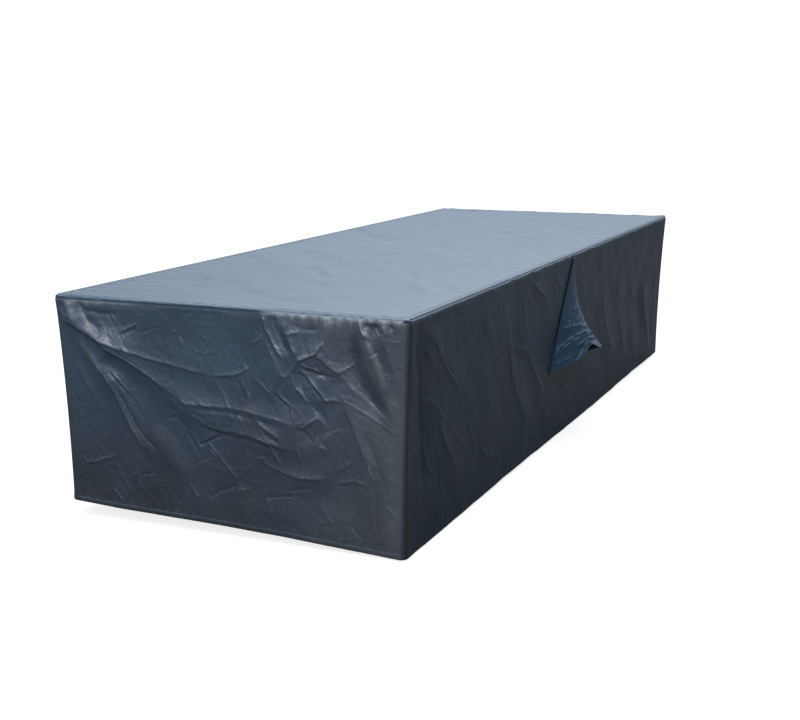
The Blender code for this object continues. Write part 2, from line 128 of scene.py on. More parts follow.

# ---------------------------------------------------------------- creases
# Each row: the crease's points, its height (mm, negative for a trough), its
# widths above and below (mm), and how sharp its crest is (2 is round).
CREASE_COLUMNS = ("points", "height", "above", "below", "power")
FRONT_CREASES = (
    # the bold drag from the far top corner, its tail and its branch
    (((-0.358, -0.040), (-0.335, -0.052), (-0.312, -0.063), (-0.290, -0.072), (-0.262, -0.083), (-0.240, -0.090)), 7.0, 18, 4, 1.3),
    (((-0.340, -0.004), (-0.337, -0.022), (-0.331, -0.038), (-0.318, -0.054)), 3.4, 15, 13, 2.0),
    (((-0.310, -0.010), (-0.303, -0.030), (-0.288, -0.050), (-0.262, -0.066)), -4.0, 14, 9, 1.8),
    (((-0.366, -0.008), (-0.361, -0.022), (-0.350, -0.040)), 3.5, 3, 4, 1.3),
    (((-0.352, -0.008), (-0.350, -0.022), (-0.342, -0.038)), -3.0, 6, 6, 1.6),
    (((-0.262, -0.080), (-0.236, -0.090), (-0.200, -0.098), (-0.160, -0.107), (-0.120, -0.113), (-0.080, -0.120), (-0.022, -0.128)), 3.0, 8, 3.5, 1.2),
    (((-0.290, -0.074), (-0.262, -0.090), (-0.240, -0.102), (-0.200, -0.120), (-0.165, -0.138), (-0.140, -0.155), (-0.116, -0.168)), 5.5, 14, 5, 1.3),
    (((-0.118, -0.172), (-0.098, -0.184), (-0.084, -0.197)), -2.4, 5, 6, 1.6),
    (((-0.345, -0.050), (-0.320, -0.061), (-0.290, -0.073), (-0.262, -0.092)), -2.5, 4, 8, 1.6),
    (((-0.306, -0.022), (-0.280, -0.026), (-0.250, -0.028), (-0.220, -0.026)), -2.6, 7, 10, 1.8),
    (((-0.372, -0.052), (-0.348, -0.049), (-0.334, -0.048)), 1.6, 3, 3, 1.4),
    (((-0.376, -0.087), (-0.360, -0.098), (-0.345, -0.112)), 1.4, 3, 3, 1.4),
    (((-0.219, -0.060), (-0.200, -0.050), (-0.180, -0.043)), 2.2, 4, 3, 1.2),
    (((-0.226, -0.068), (-0.206, -0.060), (-0.184, -0.052)), -1.4, 4, 4, 1.5),
    (((-0.187, -0.060), (-0.165, -0.056), (-0.142, -0.046), (-0.133, -0.050)), -1.2, 3, 3, 1.3),
    (((-0.141, -0.104), (-0.136, -0.082), (-0.134, -0.058)), 1.0, 3, 3, 1.3),
    (((-0.198, -0.090), (-0.189, -0.080)), 0.9, 3, 3, 1.4),
    (((-0.100, -0.063), (-0.091, -0.066), (-0.085, -0.082)), 1.0, 3, 4, 1.4),
    # left flute and its low end
    (((-0.318, -0.088), (-0.296, -0.112), (-0.264, -0.150)), 3.0, 20, 13, 1.8),
    (((-0.300, -0.104), (-0.282, -0.130), (-0.262, -0.152), (-0.250, -0.166), (-0.241, -0.182), (-0.228, -0.215), (-0.211, -0.250), (-0.190, -0.278), (-0.164, -0.303)), 6.0, 27, 6, 1.1),
    (((-0.246, -0.158), (-0.234, -0.178), (-0.216, -0.212), (-0.198, -0.244), (-0.176, -0.268), (-0.142, -0.292)), -2.6, 4, 4, 1.2),
    (((-0.252, -0.140), (-0.232, -0.161), (-0.205, -0.193)), -2.0, 3, 4, 1.3),
    (((-0.243, -0.142), (-0.224, -0.164), (-0.212, -0.178)), 1.6, 4, 3, 1.3),
    (((-0.280, -0.118), (-0.270, -0.102)), -1.2, 3, 3, 1.4),
    (((-0.335, -0.130), (-0.310, -0.172), (-0.270, -0.230)), 2.0, 14, 10, 1.8),
    (((-0.172, -0.168), (-0.178, -0.192)), 1.2, 4, 4, 1.6),
    (((-0.127, -0.218), (-0.108, -0.215), (-0.096, -0.224), (-0.080, -0.236)), -1.8, 4, 5, 1.4),
    # the two swags across the middle
    (((-0.100, -0.179), (-0.080, -0.186), (-0.040, -0.185), (0.000, -0.184), (0.030, -0.185), (0.060, -0.189), (0.100, -0.195), (0.140, -0.203), (0.154, -0.206)), 2.5, 7, 3, 1.2),
    (((-0.070, -0.194), (0.000, -0.192), (0.060, -0.199), (0.130, -0.213)), -2.4, 5, 10, 1.8),
    (((-0.084, -0.199), (-0.060, -0.212), (-0.040, -0.223), (-0.015, -0.228), (0.020, -0.228), (0.050, -0.232), (0.085, -0.240), (0.120, -0.247), (0.154, -0.252)), 2.7, 8, 3.5, 1.2),
    (((-0.060, -0.224), (0.000, -0.237), (0.060, -0.242), (0.130, -0.256)), -1.8, 5, 10, 1.8),
    (((-0.022, -0.128), (0.000, -0.125), (0.020, -0.1225), (0.036, -0.117), (0.060, -0.104)), 2.4, 5, 3.5, 1.3),
    (((-0.018, -0.135), (0.000, -0.163), (0.010, -0.184), (0.020, -0.212)), 2.2, 4, 3, 1.2),
    (((0.030, -0.130), (0.037, -0.150), (0.046, -0.172)), -1.8, 3, 3, 1.3),
    (((0.039, -0.128), (0.047, -0.148), (0.058, -0.166)), 2.2, 3, 3, 1.2),
    (((0.006, -0.190), (0.016, -0.210), (0.022, -0.224)), 1.4, 3, 3, 1.3),
    (((0.024, -0.190), (0.034, -0.206), (0.040, -0.222)), 1.3, 3, 3, 1.3),
    (((0.047, -0.192), (0.050, -0.214)), 1.3, 4, 3, 1.3),
    (((0.060, -0.196), (0.078, -0.210), (0.092, -0.219), (0.108, -0.226), (0.119, -0.233)), 3.2, 6, 3, 1.2),
    (((0.066, -0.205), (0.077, -0.220), (0.088, -0.236)), 2.0, 4, 3, 1.3),
    (((0.082, -0.226), (0.116, -0.240)), -1.6, 3, 5, 1.4),
    (((0.066, -0.234), (0.090, -0.242), (0.103, -0.260), (0.121, -0.285)), 2.8, 5, 3, 1.2),
    (((0.066, -0.273), (0.086, -0.272)), 1.6, 4, 3, 1.3),
    (((0.068, -0.276), (0.091, -0.284), (0.120, -0.293), (0.150, -0.299), (0.180, -0.298), (0.219, -0.293)), 2.8, 8, 4, 1.3),
    # the crumpled patch
    (((0.087, -0.008), (0.093, -0.034), (0.103, -0.052), (0.115, -0.071), (0.130, -0.088)), 5.0, 6, 3, 1.2),
    (((0.104, -0.010), (0.117, -0.040), (0.140, -0.080)), -3.6, 9, 8, 1.8),
    (((0.088, -0.055), (0.100, -0.075), (0.112, -0.094), (0.116, -0.115), (0.120, -0.140)), 2.0, 3, 3, 1.2),
    (((0.084, -0.012), (0.083, -0.060), (0.081, -0.100), (0.080, -0.118), (0.060, -0.122)), 1.2, 3, 8, 1.3),
    (((0.062, -0.063), (0.084, -0.050)), 1.8, 4, 3, 1.2),
    (((0.126, -0.020), (0.134, -0.040), (0.143, -0.055), (0.151, -0.070), (0.156, -0.085)), 4.4, 9, 4, 1.2),
    (((0.135, -0.041), (0.147, -0.036), (0.161, -0.035)), 2.4, 5, 3, 1.2),
    (((0.140, -0.018), (0.165, -0.028), (0.200, -0.027)), -2.4, 8, 9, 1.8),
    (((0.153, -0.086), (0.170, -0.080), (0.184, -0.074), (0.194, -0.069), (0.210, -0.048)), 4.0, 6, 3, 1.2),
    (((0.194, -0.072), (0.210, -0.084), (0.226, -0.094), (0.240, -0.104)), 4.0, 11, 3.5, 1.2),
    (((0.160, -0.090), (0.180, -0.096), (0.202, -0.101)), 2.4, 3, 3, 1.2),
    (((0.160, -0.097), (0.200, -0.107), (0.236, -0.109)), -2.8, 4, 6, 1.6),
    (((0.160, -0.099), (0.175, -0.113), (0.190, -0.128), (0.205, -0.144), (0.213, -0.152), (0.228, -0.149), (0.248, -0.152)), 3.4, 6, 3, 1.2),
    (((0.186, -0.132), (0.204, -0.150)), -1.8, 3, 5, 1.5),
    (((0.116, -0.096), (0.123, -0.114), (0.132, -0.117), (0.142, -0.106), (0.154, -0.088)), 2.6, 5, 4, 1.3),
    (((0.237, -0.101), (0.254, -0.091), (0.270, -0.081)), 2.0, 4, 3, 1.2),
    (((0.240, -0.104), (0.262, -0.122), (0.290, -0.145), (0.316, -0.166), (0.345, -0.188), (0.358, -0.199)), 0.8, 5, 5, 1.3),
    (((0.234, -0.134), (0.250, -0.148), (0.275, -0.160), (0.300, -0.172), (0.325, -0.185), (0.345, -0.196), (0.360, -0.201)), 1.6, 4, 3, 1.2),
    (((0.268, -0.112), (0.300, -0.146), (0.330, -0.170)), -1.6, 12, 8, 1.8),
    (((0.143, -0.110), (0.146, -0.125), (0.152, -0.134)), 2.0, 3, 3, 1.2),
    (((0.148, -0.135), (0.160, -0.140), (0.168, -0.150), (0.175, -0.162)), 3.6, 5, 3, 1.2),
    (((0.160, -0.103), (0.163, -0.130), (0.174, -0.158)), -2.0, 4, 4, 1.5),
    (((0.178, -0.128), (0.179, -0.162)), 1.4, 4, 4, 1.4),
    (((0.130, -0.120), (0.124, -0.140), (0.110, -0.150)), 1.4, 3, 3, 1.4),
    (((0.106, -0.150), (0.118, -0.161), (0.134, -0.172)), -2.8, 3, 4, 1.3),
    (((0.110, -0.147), (0.124, -0.157), (0.140, -0.170), (0.144, -0.190), (0.149, -0.203)), 3.0, 5, 3, 1.2),
    (((0.063, -0.123), (0.084, -0.138), (0.098, -0.150), (0.104, -0.170)), 2.0, 4, 3, 1.2),
    (((0.092, -0.118), (0.097, -0.138), (0.106, -0.150)), 1.4, 3, 3, 1.3),
    (((0.154, -0.207), (0.166, -0.204), (0.180, -0.194), (0.198, -0.183)), 3.4, 5, 3, 1.2),
    (((0.151, -0.201), (0.166, -0.195), (0.178, -0.186)), 1.6, 3, 3, 1.3),
    (((0.192, -0.188), (0.192, -0.215), (0.194, -0.243)), 1.8, 5, 4, 1.3),
    (((0.194, -0.243), (0.204, -0.236), (0.214, -0.247)), 2.4, 4, 3, 1.2),
    (((0.206, -0.226), (0.224, -0.209), (0.244, -0.200)), 1.4, 4, 4, 1.4),
    (((0.154, -0.207), (0.170, -0.216), (0.190, -0.236)), -2.0, 8, 6, 1.7),
    (((0.149, -0.212), (0.153, -0.236), (0.156, -0.252), (0.160, -0.280)), 2.0, 4, 3, 1.2),
    # flutes by the near corner
    (((0.277, -0.008), (0.283, -0.023), (0.291, -0.036)), 4.5, 6, 4, 1.3),
    (((0.292, -0.040), (0.304, -0.072), (0.320, -0.106), (0.338, -0.150), (0.352, -0.190)), 2.4, 20, 14, 2.4),
    (((0.264, -0.010), (0.258, -0.040), (0.257, -0.070), (0.266, -0.095), (0.282, -0.118), (0.305, -0.144), (0.330, -0.172)), -3.2, 26, 28, 2.0),
    (((0.280, -0.008), (0.292, -0.032), (0.308, -0.054), (0.326, -0.080), (0.343, -0.107)), -3.0, 22, 12, 2.0),
    (((0.303, -0.006), (0.311, -0.018), (0.318, -0.030)), -2.6, 6, 4, 1.4),
    (((0.319, -0.004), (0.325, -0.017), (0.332, -0.031)), 3.2, 5, 4, 1.4),
    (((0.333, -0.006), (0.341, -0.020)), -2.6, 5, 3, 1.5),
    (((0.298, -0.067), (0.316, -0.057)), -1.6, 3, 3, 1.2),
    (((0.296, -0.071), (0.314, -0.061)), 1.4, 3, 3, 1.2),
    (((0.342, -0.041), (0.354, -0.037), (0.366, -0.031)), 1.6, 3, 3, 1.2),
    (((0.352, -0.082), (0.364, -0.074)), 1.2, 3, 3, 1.2),
    (((0.338, -0.142), (0.352, -0.150), (0.362, -0.158)), 1.4, 4, 3, 1.3),
    (((0.250, -0.156), (0.266, -0.190), (0.282, -0.225), (0.298, -0.255), (0.316, -0.310)), 3.4, 14, 5, 1.3),
    (((0.290, -0.200), (0.312, -0.245), (0.330, -0.290), (0.345, -0.320)), -1.8, 7, 7, 1.6),
    (((0.312, -0.290), (0.316, -0.340), (0.322, -0.392)), -2.0, 4, 6, 1.4),
    (((0.336, -0.326), (0.348, -0.340), (0.360, -0.356)), 1.8, 4, 3, 1.3),
    (((0.262, -0.368), (0.278, -0.384), (0.292, -0.396)), -1.8, 3, 4, 1.3),
    (((0.232, -0.300), (0.268, -0.290), (0.300, -0.295)), 1.8, 6, 4, 1.5),
    (((0.270, -0.252), (0.246, -0.270), (0.226, -0.278)), 1.4, 5, 4, 1.5),
    # low on the panel
    (((-0.342, -0.315), (-0.326, -0.329), (-0.300, -0.322), (-0.272, -0.312), (-0.250, -0.304)), 2.6, 5, 3, 1.2),
    (((-0.346, -0.324), (-0.330, -0.346)), 1.2, 4, 3, 1.4),
    (((-0.269, -0.375), (-0.257, -0.384), (-0.244, -0.396)), 2.4, 4, 3, 1.2),
    (((-0.207, -0.334), (-0.202, -0.354), (-0.194, -0.372)), 2.0, 4, 3, 1.2),
    (((-0.200, -0.336), (-0.180, -0.333), (-0.160, -0.326)), -1.4, 4, 4, 1.4),
    (((-0.090, -0.237), (-0.076, -0.256), (-0.057, -0.288)), -2.0, 4, 4, 1.3),
    (((-0.082, -0.236), (-0.066, -0.256), (-0.054, -0.276)), 1.8, 4, 3, 1.2),
    (((-0.060, -0.264), (-0.040, -0.253), (-0.018, -0.243), (-0.004, -0.240)), -2.4, 4, 3, 1.3),
    (((-0.060, -0.258), (-0.038, -0.246), (-0.018, -0.237)), 1.6, 4, 3, 1.2),
    (((-0.044, -0.254), (-0.020, -0.275), (0.000, -0.297), (0.022, -0.322)), 2.2, 4, 3, 1.2),
    (((-0.042, -0.268), (-0.019, -0.283)), 1.8, 3, 3, 1.2),
    (((-0.078, -0.304), (-0.058, -0.293), (-0.036, -0.282)), -1.6, 5, 4, 1.4),
    (((-0.088, -0.340), (-0.064, -0.368)), 1.6, 5, 4, 1.3),
    (((-0.044, -0.362), (-0.014, -0.343), (0.022, -0.330)), -2.0, 6, 6, 1.5),
    (((0.020, -0.338), (0.046, -0.337)), 1.6, 4, 3, 1.3),
    (((0.086, -0.350), (0.098, -0.376)), 1.6, 5, 4, 1.3),
    (((0.082, -0.346), (0.110, -0.340), (0.150, -0.334)), -1.6, 5, 5, 1.4),
    (((0.128, -0.327), (0.150, -0.322), (0.178, -0.317)), -1.6, 4, 4, 1.4),
    (((0.040, -0.236), (0.044, -0.262), (0.046, -0.292)), 1.2, 4, 3, 1.4),
    (((-0.250, -0.345), (-0.225, -0.372)), 1.2, 5, 4, 1.4),
    (((0.200, -0.345), (0.226, -0.378)), 1.4, 5, 4, 1.4),
)
# Flat facets between these points make the crumpled ground: a, z, height in mm.
FACET_COLUMNS = ("a", "z", "height")
FRONT_FACETS = (
    (0.090, -0.015, 0.5), (0.115, -0.020, -2.0), (0.135, -0.022, 1.5), (0.165, -0.018, -1.5), (0.200, -0.020, -0.5),
    (0.225, -0.018, 1.5), (0.250, -0.020, 0.0), (0.270, -0.025, -1.5), (0.285, -0.020, 2.5), (0.305, -0.022, -2.0),
    (0.330, -0.022, 2.0), (0.345, -0.030, -1.0), (0.365, -0.030, 1.0),
    (0.085, -0.050, 1.0), (0.120, -0.050, -2.5), (0.142, -0.048, 2.5), (0.175, -0.045, -2.0), (0.210, -0.050, 1.5),
    (0.240, -0.050, -0.5), (0.265, -0.055, -2.0), (0.295, -0.050, 1.6), (0.320, -0.050, 0.8), (0.338, -0.060, -2.2), (0.360, -0.060, 0.8),
    (0.090, -0.085, 0.0), (0.130, -0.086, -0.5), (0.155, -0.086, 3.5), (0.190, -0.072, 2.5), (0.215, -0.078, 0.0),
    (0.237, -0.101, 3.0), (0.262, -0.085, -0.5), (0.285, -0.090, -2.2), (0.315, -0.085, 1.6), (0.345, -0.085, -1.0), (0.362, -0.100, 0.6),
    (0.082, -0.117, 1.0), (0.118, -0.115, 2.5), (0.140, -0.108, 0.5), (0.175, -0.112, -2.0), (0.205, -0.107, -2.5),
    (0.225, -0.120, -1.0), (0.255, -0.115, 1.0), (0.295, -0.120, -2.0), (0.325, -0.120, 1.4), (0.355, -0.130, 0.5),
    (0.060, -0.122, 1.5), (0.098, -0.148, 1.5), (0.120, -0.140, 0.0), (0.150, -0.136, 2.0), (0.178, -0.130, 1.0),
    (0.190, -0.128, 2.0), (0.213, -0.151, 2.5), (0.235, -0.135, 1.0), (0.270, -0.140, -0.5), (0.305, -0.155, -2.0), (0.340, -0.160, 1.0),
    (0.035, -0.150, 1.0), (0.055, -0.165, -1.0), (0.085, -0.165, -0.5), (0.133, -0.170, -2.0), (0.174, -0.160, 2.0),
    (0.200, -0.175, -1.0), (0.246, -0.152, 1.5), (0.275, -0.175, 1.5), (0.320, -0.185, 0.5), (0.357, -0.200, 1.0),
    (0.000, -0.185, 2.0), (0.060, -0.189, 1.0), (0.100, -0.200, 0.0), (0.150, -0.205, 3.0), (0.196, -0.185, 2.0),
    (0.220, -0.205, -0.5), (0.250, -0.200, -1.5), (0.285, -0.220, 2.0), (0.330, -0.225, 0.0),
    (0.020, -0.210, -1.5), (0.080, -0.215, 1.0), (0.118, -0.233, 1.5), (0.155, -0.235, 0.5), (0.175, -0.225, -1.5),
    (0.203, -0.238, 2.0), (0.235, -0.240, -1.0), (0.265, -0.250, -1.5), (0.305, -0.260, 2.0), (0.350, -0.260, -0.5),
    (0.090, -0.243, 2.0), (0.120, -0.283, 1.5), (0.155, -0.275, -1.0), (0.190, -0.265, -0.5), (0.219, -0.293, 1.5),
    (0.250, -0.285, -1.0), (0.290, -0.300, 0.0), (0.325, -0.320, 1.5), (0.355, -0.330, -0.5),
    (0.070, -0.272, 1.0), (0.040, -0.260, -1.0), (0.020, -0.320, 0.5), (0.080, -0.310, -0.5), (0.140, -0.294, 1.5),
    (0.180, -0.299, 1.5), (0.200, -0.330, -1.0), (0.250, -0.340, 0.0), (0.300, -0.360, -1.0), (0.340, -0.380, 0.5),
    (-0.360, -0.020, 0.0), (-0.340, -0.070, 0.0), (-0.300, -0.050, 1.5), (-0.270, -0.040, -2.0), (-0.220, -0.060, 0.5),
    (-0.235, -0.090, 2.0), (-0.190, -0.043, 0.5), (-0.150, -0.070, 0.0), (-0.120, -0.113, 1.0), (-0.100, -0.050, 0.0),
    (-0.040, -0.040, 0.5), (-0.030, -0.100, 0.0), (-0.020, -0.127, 1.5), (0.030, -0.060, 0.0), (0.040, -0.020, 0.0), (0.035, -0.115, 1.0),
    (-0.330, -0.110, -1.0), (-0.285, -0.120, 2.0), (-0.250, -0.130, -1.0), (-0.220, -0.140, -1.5), (-0.190, -0.125, 1.5),
    (-0.150, -0.150, 1.0), (-0.120, -0.168, 1.5), (-0.170, -0.175, -1.0), (-0.265, -0.155, 2.0), (-0.300, -0.170, -1.0),
    (-0.340, -0.200, 0.0), (-0.240, -0.180, 2.0), (-0.200, -0.200, -1.5), (-0.150, -0.200, 0.5), (-0.110, -0.200, -1.0),
    (-0.085, -0.190, 1.0), (-0.050, -0.150, -0.5), (-0.060, -0.225, 1.5), (-0.280, -0.240, -1.0), (-0.205, -0.250, 2.5),
    (-0.170, -0.240, -1.0), (-0.120, -0.235, -0.5), (-0.090, -0.240, 0.5), (-0.060, -0.262, -1.0), (-0.020, -0.243, 0.5),
    (-0.330, -0.280, 0.5), (-0.250, -0.300, -0.5), (-0.160, -0.300, 1.5), (-0.120, -0.310, -0.5), (-0.070, -0.300, 0.0),
    (-0.020, -0.283, 1.0), (-0.340, -0.330, 1.5), (-0.300, -0.320, 1.0), (-0.270, -0.360, -0.5), (-0.240, -0.390, 1.0),
    (-0.200, -0.350, 1.0), (-0.150, -0.350, -0.5), (-0.080, -0.350, 0.5), (-0.030, -0.350, -1.0), (0.030, -0.360, 0.0),
    (0.100, -0.360, 0.5), (0.160, -0.340, -0.5), (0.210, -0.380, 0.0), (-0.350, -0.370, -0.5), (-0.180, -0.385, -0.3),
)
RIGHT_CREASES = (
    (((-1.004, -0.030), (-0.988, -0.090), (-0.966, -0.185), (-0.955, -0.250), (-0.948, -0.330)), -3.0, 9, 16, 1.4),
    (((-0.928, -0.052), (-0.885, -0.095), (-0.855, -0.120), (-0.820, -0.146), (-0.782, -0.168)), 3.2, 9, 5, 1.2),
    (((-0.890, -0.086), (-0.855, -0.112), (-0.815, -0.138)), -1.8, 4, 4, 1.4),
    (((-0.965, -0.062), (-0.930, -0.090), (-0.900, -0.118)), 2.0, 9, 7, 1.5),
    (((-0.965, -0.152), (-0.925, -0.165), (-0.897, -0.180), (-0.880, -0.200), (-0.855, -0.207)), 2.6, 6, 4, 1.2),
    (((-0.880, -0.178), (-0.862, -0.158), (-0.856, -0.140)), 1.2, 6, 5, 1.5),
    (((-0.950, -0.240), (-0.932, -0.280), (-0.914, -0.302)), 2.2, 6, 6, 1.3),
    (((-1.015, -0.232), (-0.978, -0.240)), 1.4, 4, 3, 1.3),
    (((-0.895, -0.200), (-0.860, -0.250), (-0.820, -0.292), (-0.785, -0.335)), 3.6, 24, 9, 1.5),
    (((-0.905, -0.250), (-0.885, -0.300), (-0.872, -0.350)), -2.0, 9, 9, 1.7),
    (((-0.835, -0.225), (-0.780, -0.262), (-0.735, -0.290)), 2.0, 12, 8, 1.6),
    (((-0.725, -0.240), (-0.705, -0.272), (-0.685, -0.300)), 2.6, 10, 8, 1.6),
    (((-0.762, -0.330), (-0.758, -0.362)), 2.0, 5, 5, 1.4),
    (((-0.655, -0.315), (-0.605, -0.344), (-0.560, -0.352), (-0.525, -0.362)), 2.8, 9, 5, 1.3),
    (((-0.800, -0.060), (-0.790, -0.092), (-0.774, -0.140)), 1.6, 8, 7, 1.6),
    (((-0.660, -0.060), (-0.620, -0.090), (-0.570, -0.150)), 1.6, 18, 14, 1.8),
    (((-0.500, -0.120), (-0.462, -0.200), (-0.430, -0.250), (-0.385, -0.290), (-0.335, -0.325)), 4.2, 20, 16, 1.6),
    (((-0.500, -0.050), (-0.470, -0.098), (-0.445, -0.155), (-0.415, -0.200)), -3.2, 14, 12, 1.7),
    (((-0.455, -0.155), (-0.422, -0.157), (-0.390, -0.163), (-0.360, -0.176), (-0.320, -0.210), (-0.270, -0.256), (-0.200, -0.305)), 3.8, 13, 8, 1.3),
    (((-0.300, -0.212), (-0.255, -0.245), (-0.200, -0.282)), -2.0, 6, 8, 1.6),
    (((-0.362, -0.160), (-0.305, -0.165), (-0.255, -0.180)), 2.0, 6, 5, 1.4),
    (((-0.332, -0.032), (-0.300, -0.050), (-0.270, -0.060), (-0.238, -0.066)), 3.4, 8, 5, 1.3),
    (((-0.350, -0.048), (-0.320, -0.066), (-0.285, -0.078)), -2.2, 7, 7, 1.6),
    (((-0.272, -0.112), (-0.240, -0.120), (-0.198, -0.133)), 2.2, 6, 4, 1.3),
    (((-0.175, -0.032), (-0.135, -0.055), (-0.095, -0.070)), 2.4, 7, 5, 1.4),
    (((-0.402, -0.052), (-0.386, -0.090), (-0.368, -0.140)), 2.2, 11, 9, 1.6),
    (((-0.262, -0.300), (-0.215, -0.330), (-0.180, -0.352)), 2.0, 10, 8, 1.6),
    (((-0.060, -0.300), (-0.010, -0.328), (0.050, -0.340)), 2.0, 12, 10, 1.7),
    (((0.100, -0.292), (0.130, -0.332)), 1.8, 9, 8, 1.6),
    (((0.188, -0.285), (0.204, -0.312), (0.228, -0.338)), 2.6, 10, 7, 1.5),
    (((0.250, -0.030), (0.268, -0.066), (0.290, -0.088)), 2.4, 10, 8, 1.6),
    (((0.100, -0.030), (0.116, -0.058), (0.120, -0.080)), 1.8, 8, 8, 1.6),
    (((0.168, -0.040), (0.176, -0.064)), 1.6, 7, 6, 1.6),
    (((0.292, -0.150), (0.338, -0.220), (0.380, -0.270), (0.425, -0.315)), 4.2, 20, 14, 1.6),
    (((0.340, -0.170), (0.380, -0.220), (0.425, -0.262)), -2.0, 10, 10, 1.7),
    (((0.440, -0.148), (0.468, -0.174), (0.500, -0.186), (0.530, -0.190)), -2.8, 7, 8, 1.4),
    (((0.452, -0.146), (0.480, -0.166), (0.520, -0.178)), 2.2, 9, 5, 1.4),
    (((0.408, -0.155), (0.420, -0.172)), 1.8, 7, 6, 1.5),
    (((0.500, -0.240), (0.540, -0.290), (0.560, -0.330)), 2.6, 12, 9, 1.7),
    (((0.600, -0.162), (0.638, -0.186), (0.672, -0.204), (0.700, -0.230)), 3.4, 12, 8, 1.4),
    (((0.706, -0.190), (0.742, -0.174), (0.795, -0.154)), 2.8, 9, 6, 1.3),
    (((0.700, -0.200), (0.735, -0.245), (0.765, -0.285)), -3.0, 14, 12, 1.7),
    (((0.780, -0.200), (0.810, -0.260), (0.830, -0.300)), 2.4, 12, 9, 1.6),
    (((0.830, -0.265), (0.868, -0.335), (0.892, -0.385)), 3.6, 14, 8, 1.4),
    (((0.640, -0.045), (0.668, -0.056)), 1.8, 7, 6, 1.5),
    (((0.900, -0.240), (0.935, -0.310), (0.950, -0.370)), -2.6, 9, 9, 1.6),
    (((0.930, -0.100), (0.955, -0.200), (0.962, -0.330)), 2.6, 18, 16, 1.8),
    (((0.780, -0.060), (0.850, -0.080), (0.920, -0.078)), 1.6, 12, 10, 1.7),
)
BACK_CREASES = (
    (((-0.360, -0.020), (-0.300, -0.070), (-0.230, -0.140), (-0.190, -0.200)), 4.5, 14, 6, 1.3),
    (((-0.230, -0.140), (-0.150, -0.170), (-0.060, -0.182), (0.040, -0.176)), 3.0, 9, 5, 1.3),
    (((-0.180, -0.090), (-0.150, -0.200), (-0.110, -0.310), (-0.098, -0.390)), 3.0, 14, 10, 1.6),
    (((0.030, -0.040), (0.060, -0.150), (0.092, -0.300)), 2.8, 14, 10, 1.7),
    (((0.362, -0.022), (0.300, -0.100), (0.240, -0.190), (0.215, -0.250)), 4.2, 8, 14, 1.3),
    (((0.240, -0.190), (0.150, -0.220), (0.070, -0.224)), 2.6, 5, 9, 1.3),
    (((-0.320, -0.240), (-0.280, -0.300), (-0.262, -0.370)), 2.6, 10, 8, 1.5),
    (((0.120, -0.060), (0.150, -0.095), (0.200, -0.110)), 2.2, 6, 4, 1.2),
    (((-0.060, -0.060), (-0.020, -0.098), (0.000, -0.130)), 2.0, 6, 4, 1.2),
    (((0.180, -0.290), (0.230, -0.330), (0.300, -0.345)), 2.2, 7, 5, 1.3),
    (((-0.050, -0.260), (0.000, -0.290), (0.030, -0.330)), 2.0, 6, 5, 1.3),
    (((0.300, -0.240), (0.322, -0.300), (0.330, -0.380)), -2.4, 10, 10, 1.7),
)
LEFT_CREASES = (
    (((-1.000, -0.030), (-0.930, -0.110), (-0.860, -0.200), (-0.820, -0.280)), 4.2, 16, 8, 1.3),
    (((-0.900, -0.060), (-0.840, -0.090), (-0.760, -0.110)), 2.4, 8, 5, 1.3),
    (((-0.720, -0.070), (-0.670, -0.190), (-0.620, -0.330)), 3.2, 20, 14, 1.6),
    (((-0.560, -0.120), (-0.520, -0.180), (-0.460, -0.220)), 2.4, 10, 7, 1.4),
    (((-0.440, -0.110), (-0.380, -0.240), (-0.325, -0.360)), 3.4, 18, 12, 1.6),
    (((-0.260, -0.050), (-0.230, -0.080), (-0.190, -0.094)), 2.2, 7, 5, 1.3),
    (((-0.130, -0.060), (-0.095, -0.200), (-0.070, -0.330)), 2.8, 18, 14, 1.7),
    (((0.010, -0.160), (0.060, -0.200), (0.110, -0.260)), 2.4, 12, 8, 1.5),
    (((0.150, -0.110), (0.200, -0.250), (0.245, -0.380)), 3.4, 18, 12, 1.6),
    (((0.330, -0.060), (0.350, -0.090), (0.390, -0.110)), 2.0, 7, 5, 1.3),
    (((0.460, -0.070), (0.500, -0.200), (0.535, -0.330)), 3.0, 18, 13, 1.6),
    (((0.620, -0.110), (0.660, -0.170), (0.720, -0.210)), 2.6, 10, 7, 1.4),
    (((1.000, -0.030), (0.930, -0.120), (0.855, -0.230), (0.830, -0.310)), 4.2, 8, 16, 1.3),
    (((0.880, -0.060), (0.810, -0.100), (0.740, -0.112)), 2.4, 5, 8, 1.3),
    (((0.735, -0.200), (0.755, -0.300), (0.768, -0.390)), -2.6, 12, 12, 1.7),
    (((-0.980, -0.260), (-0.950, -0.330), (-0.940, -0.390)), 2.4, 9, 8, 1.5),
)
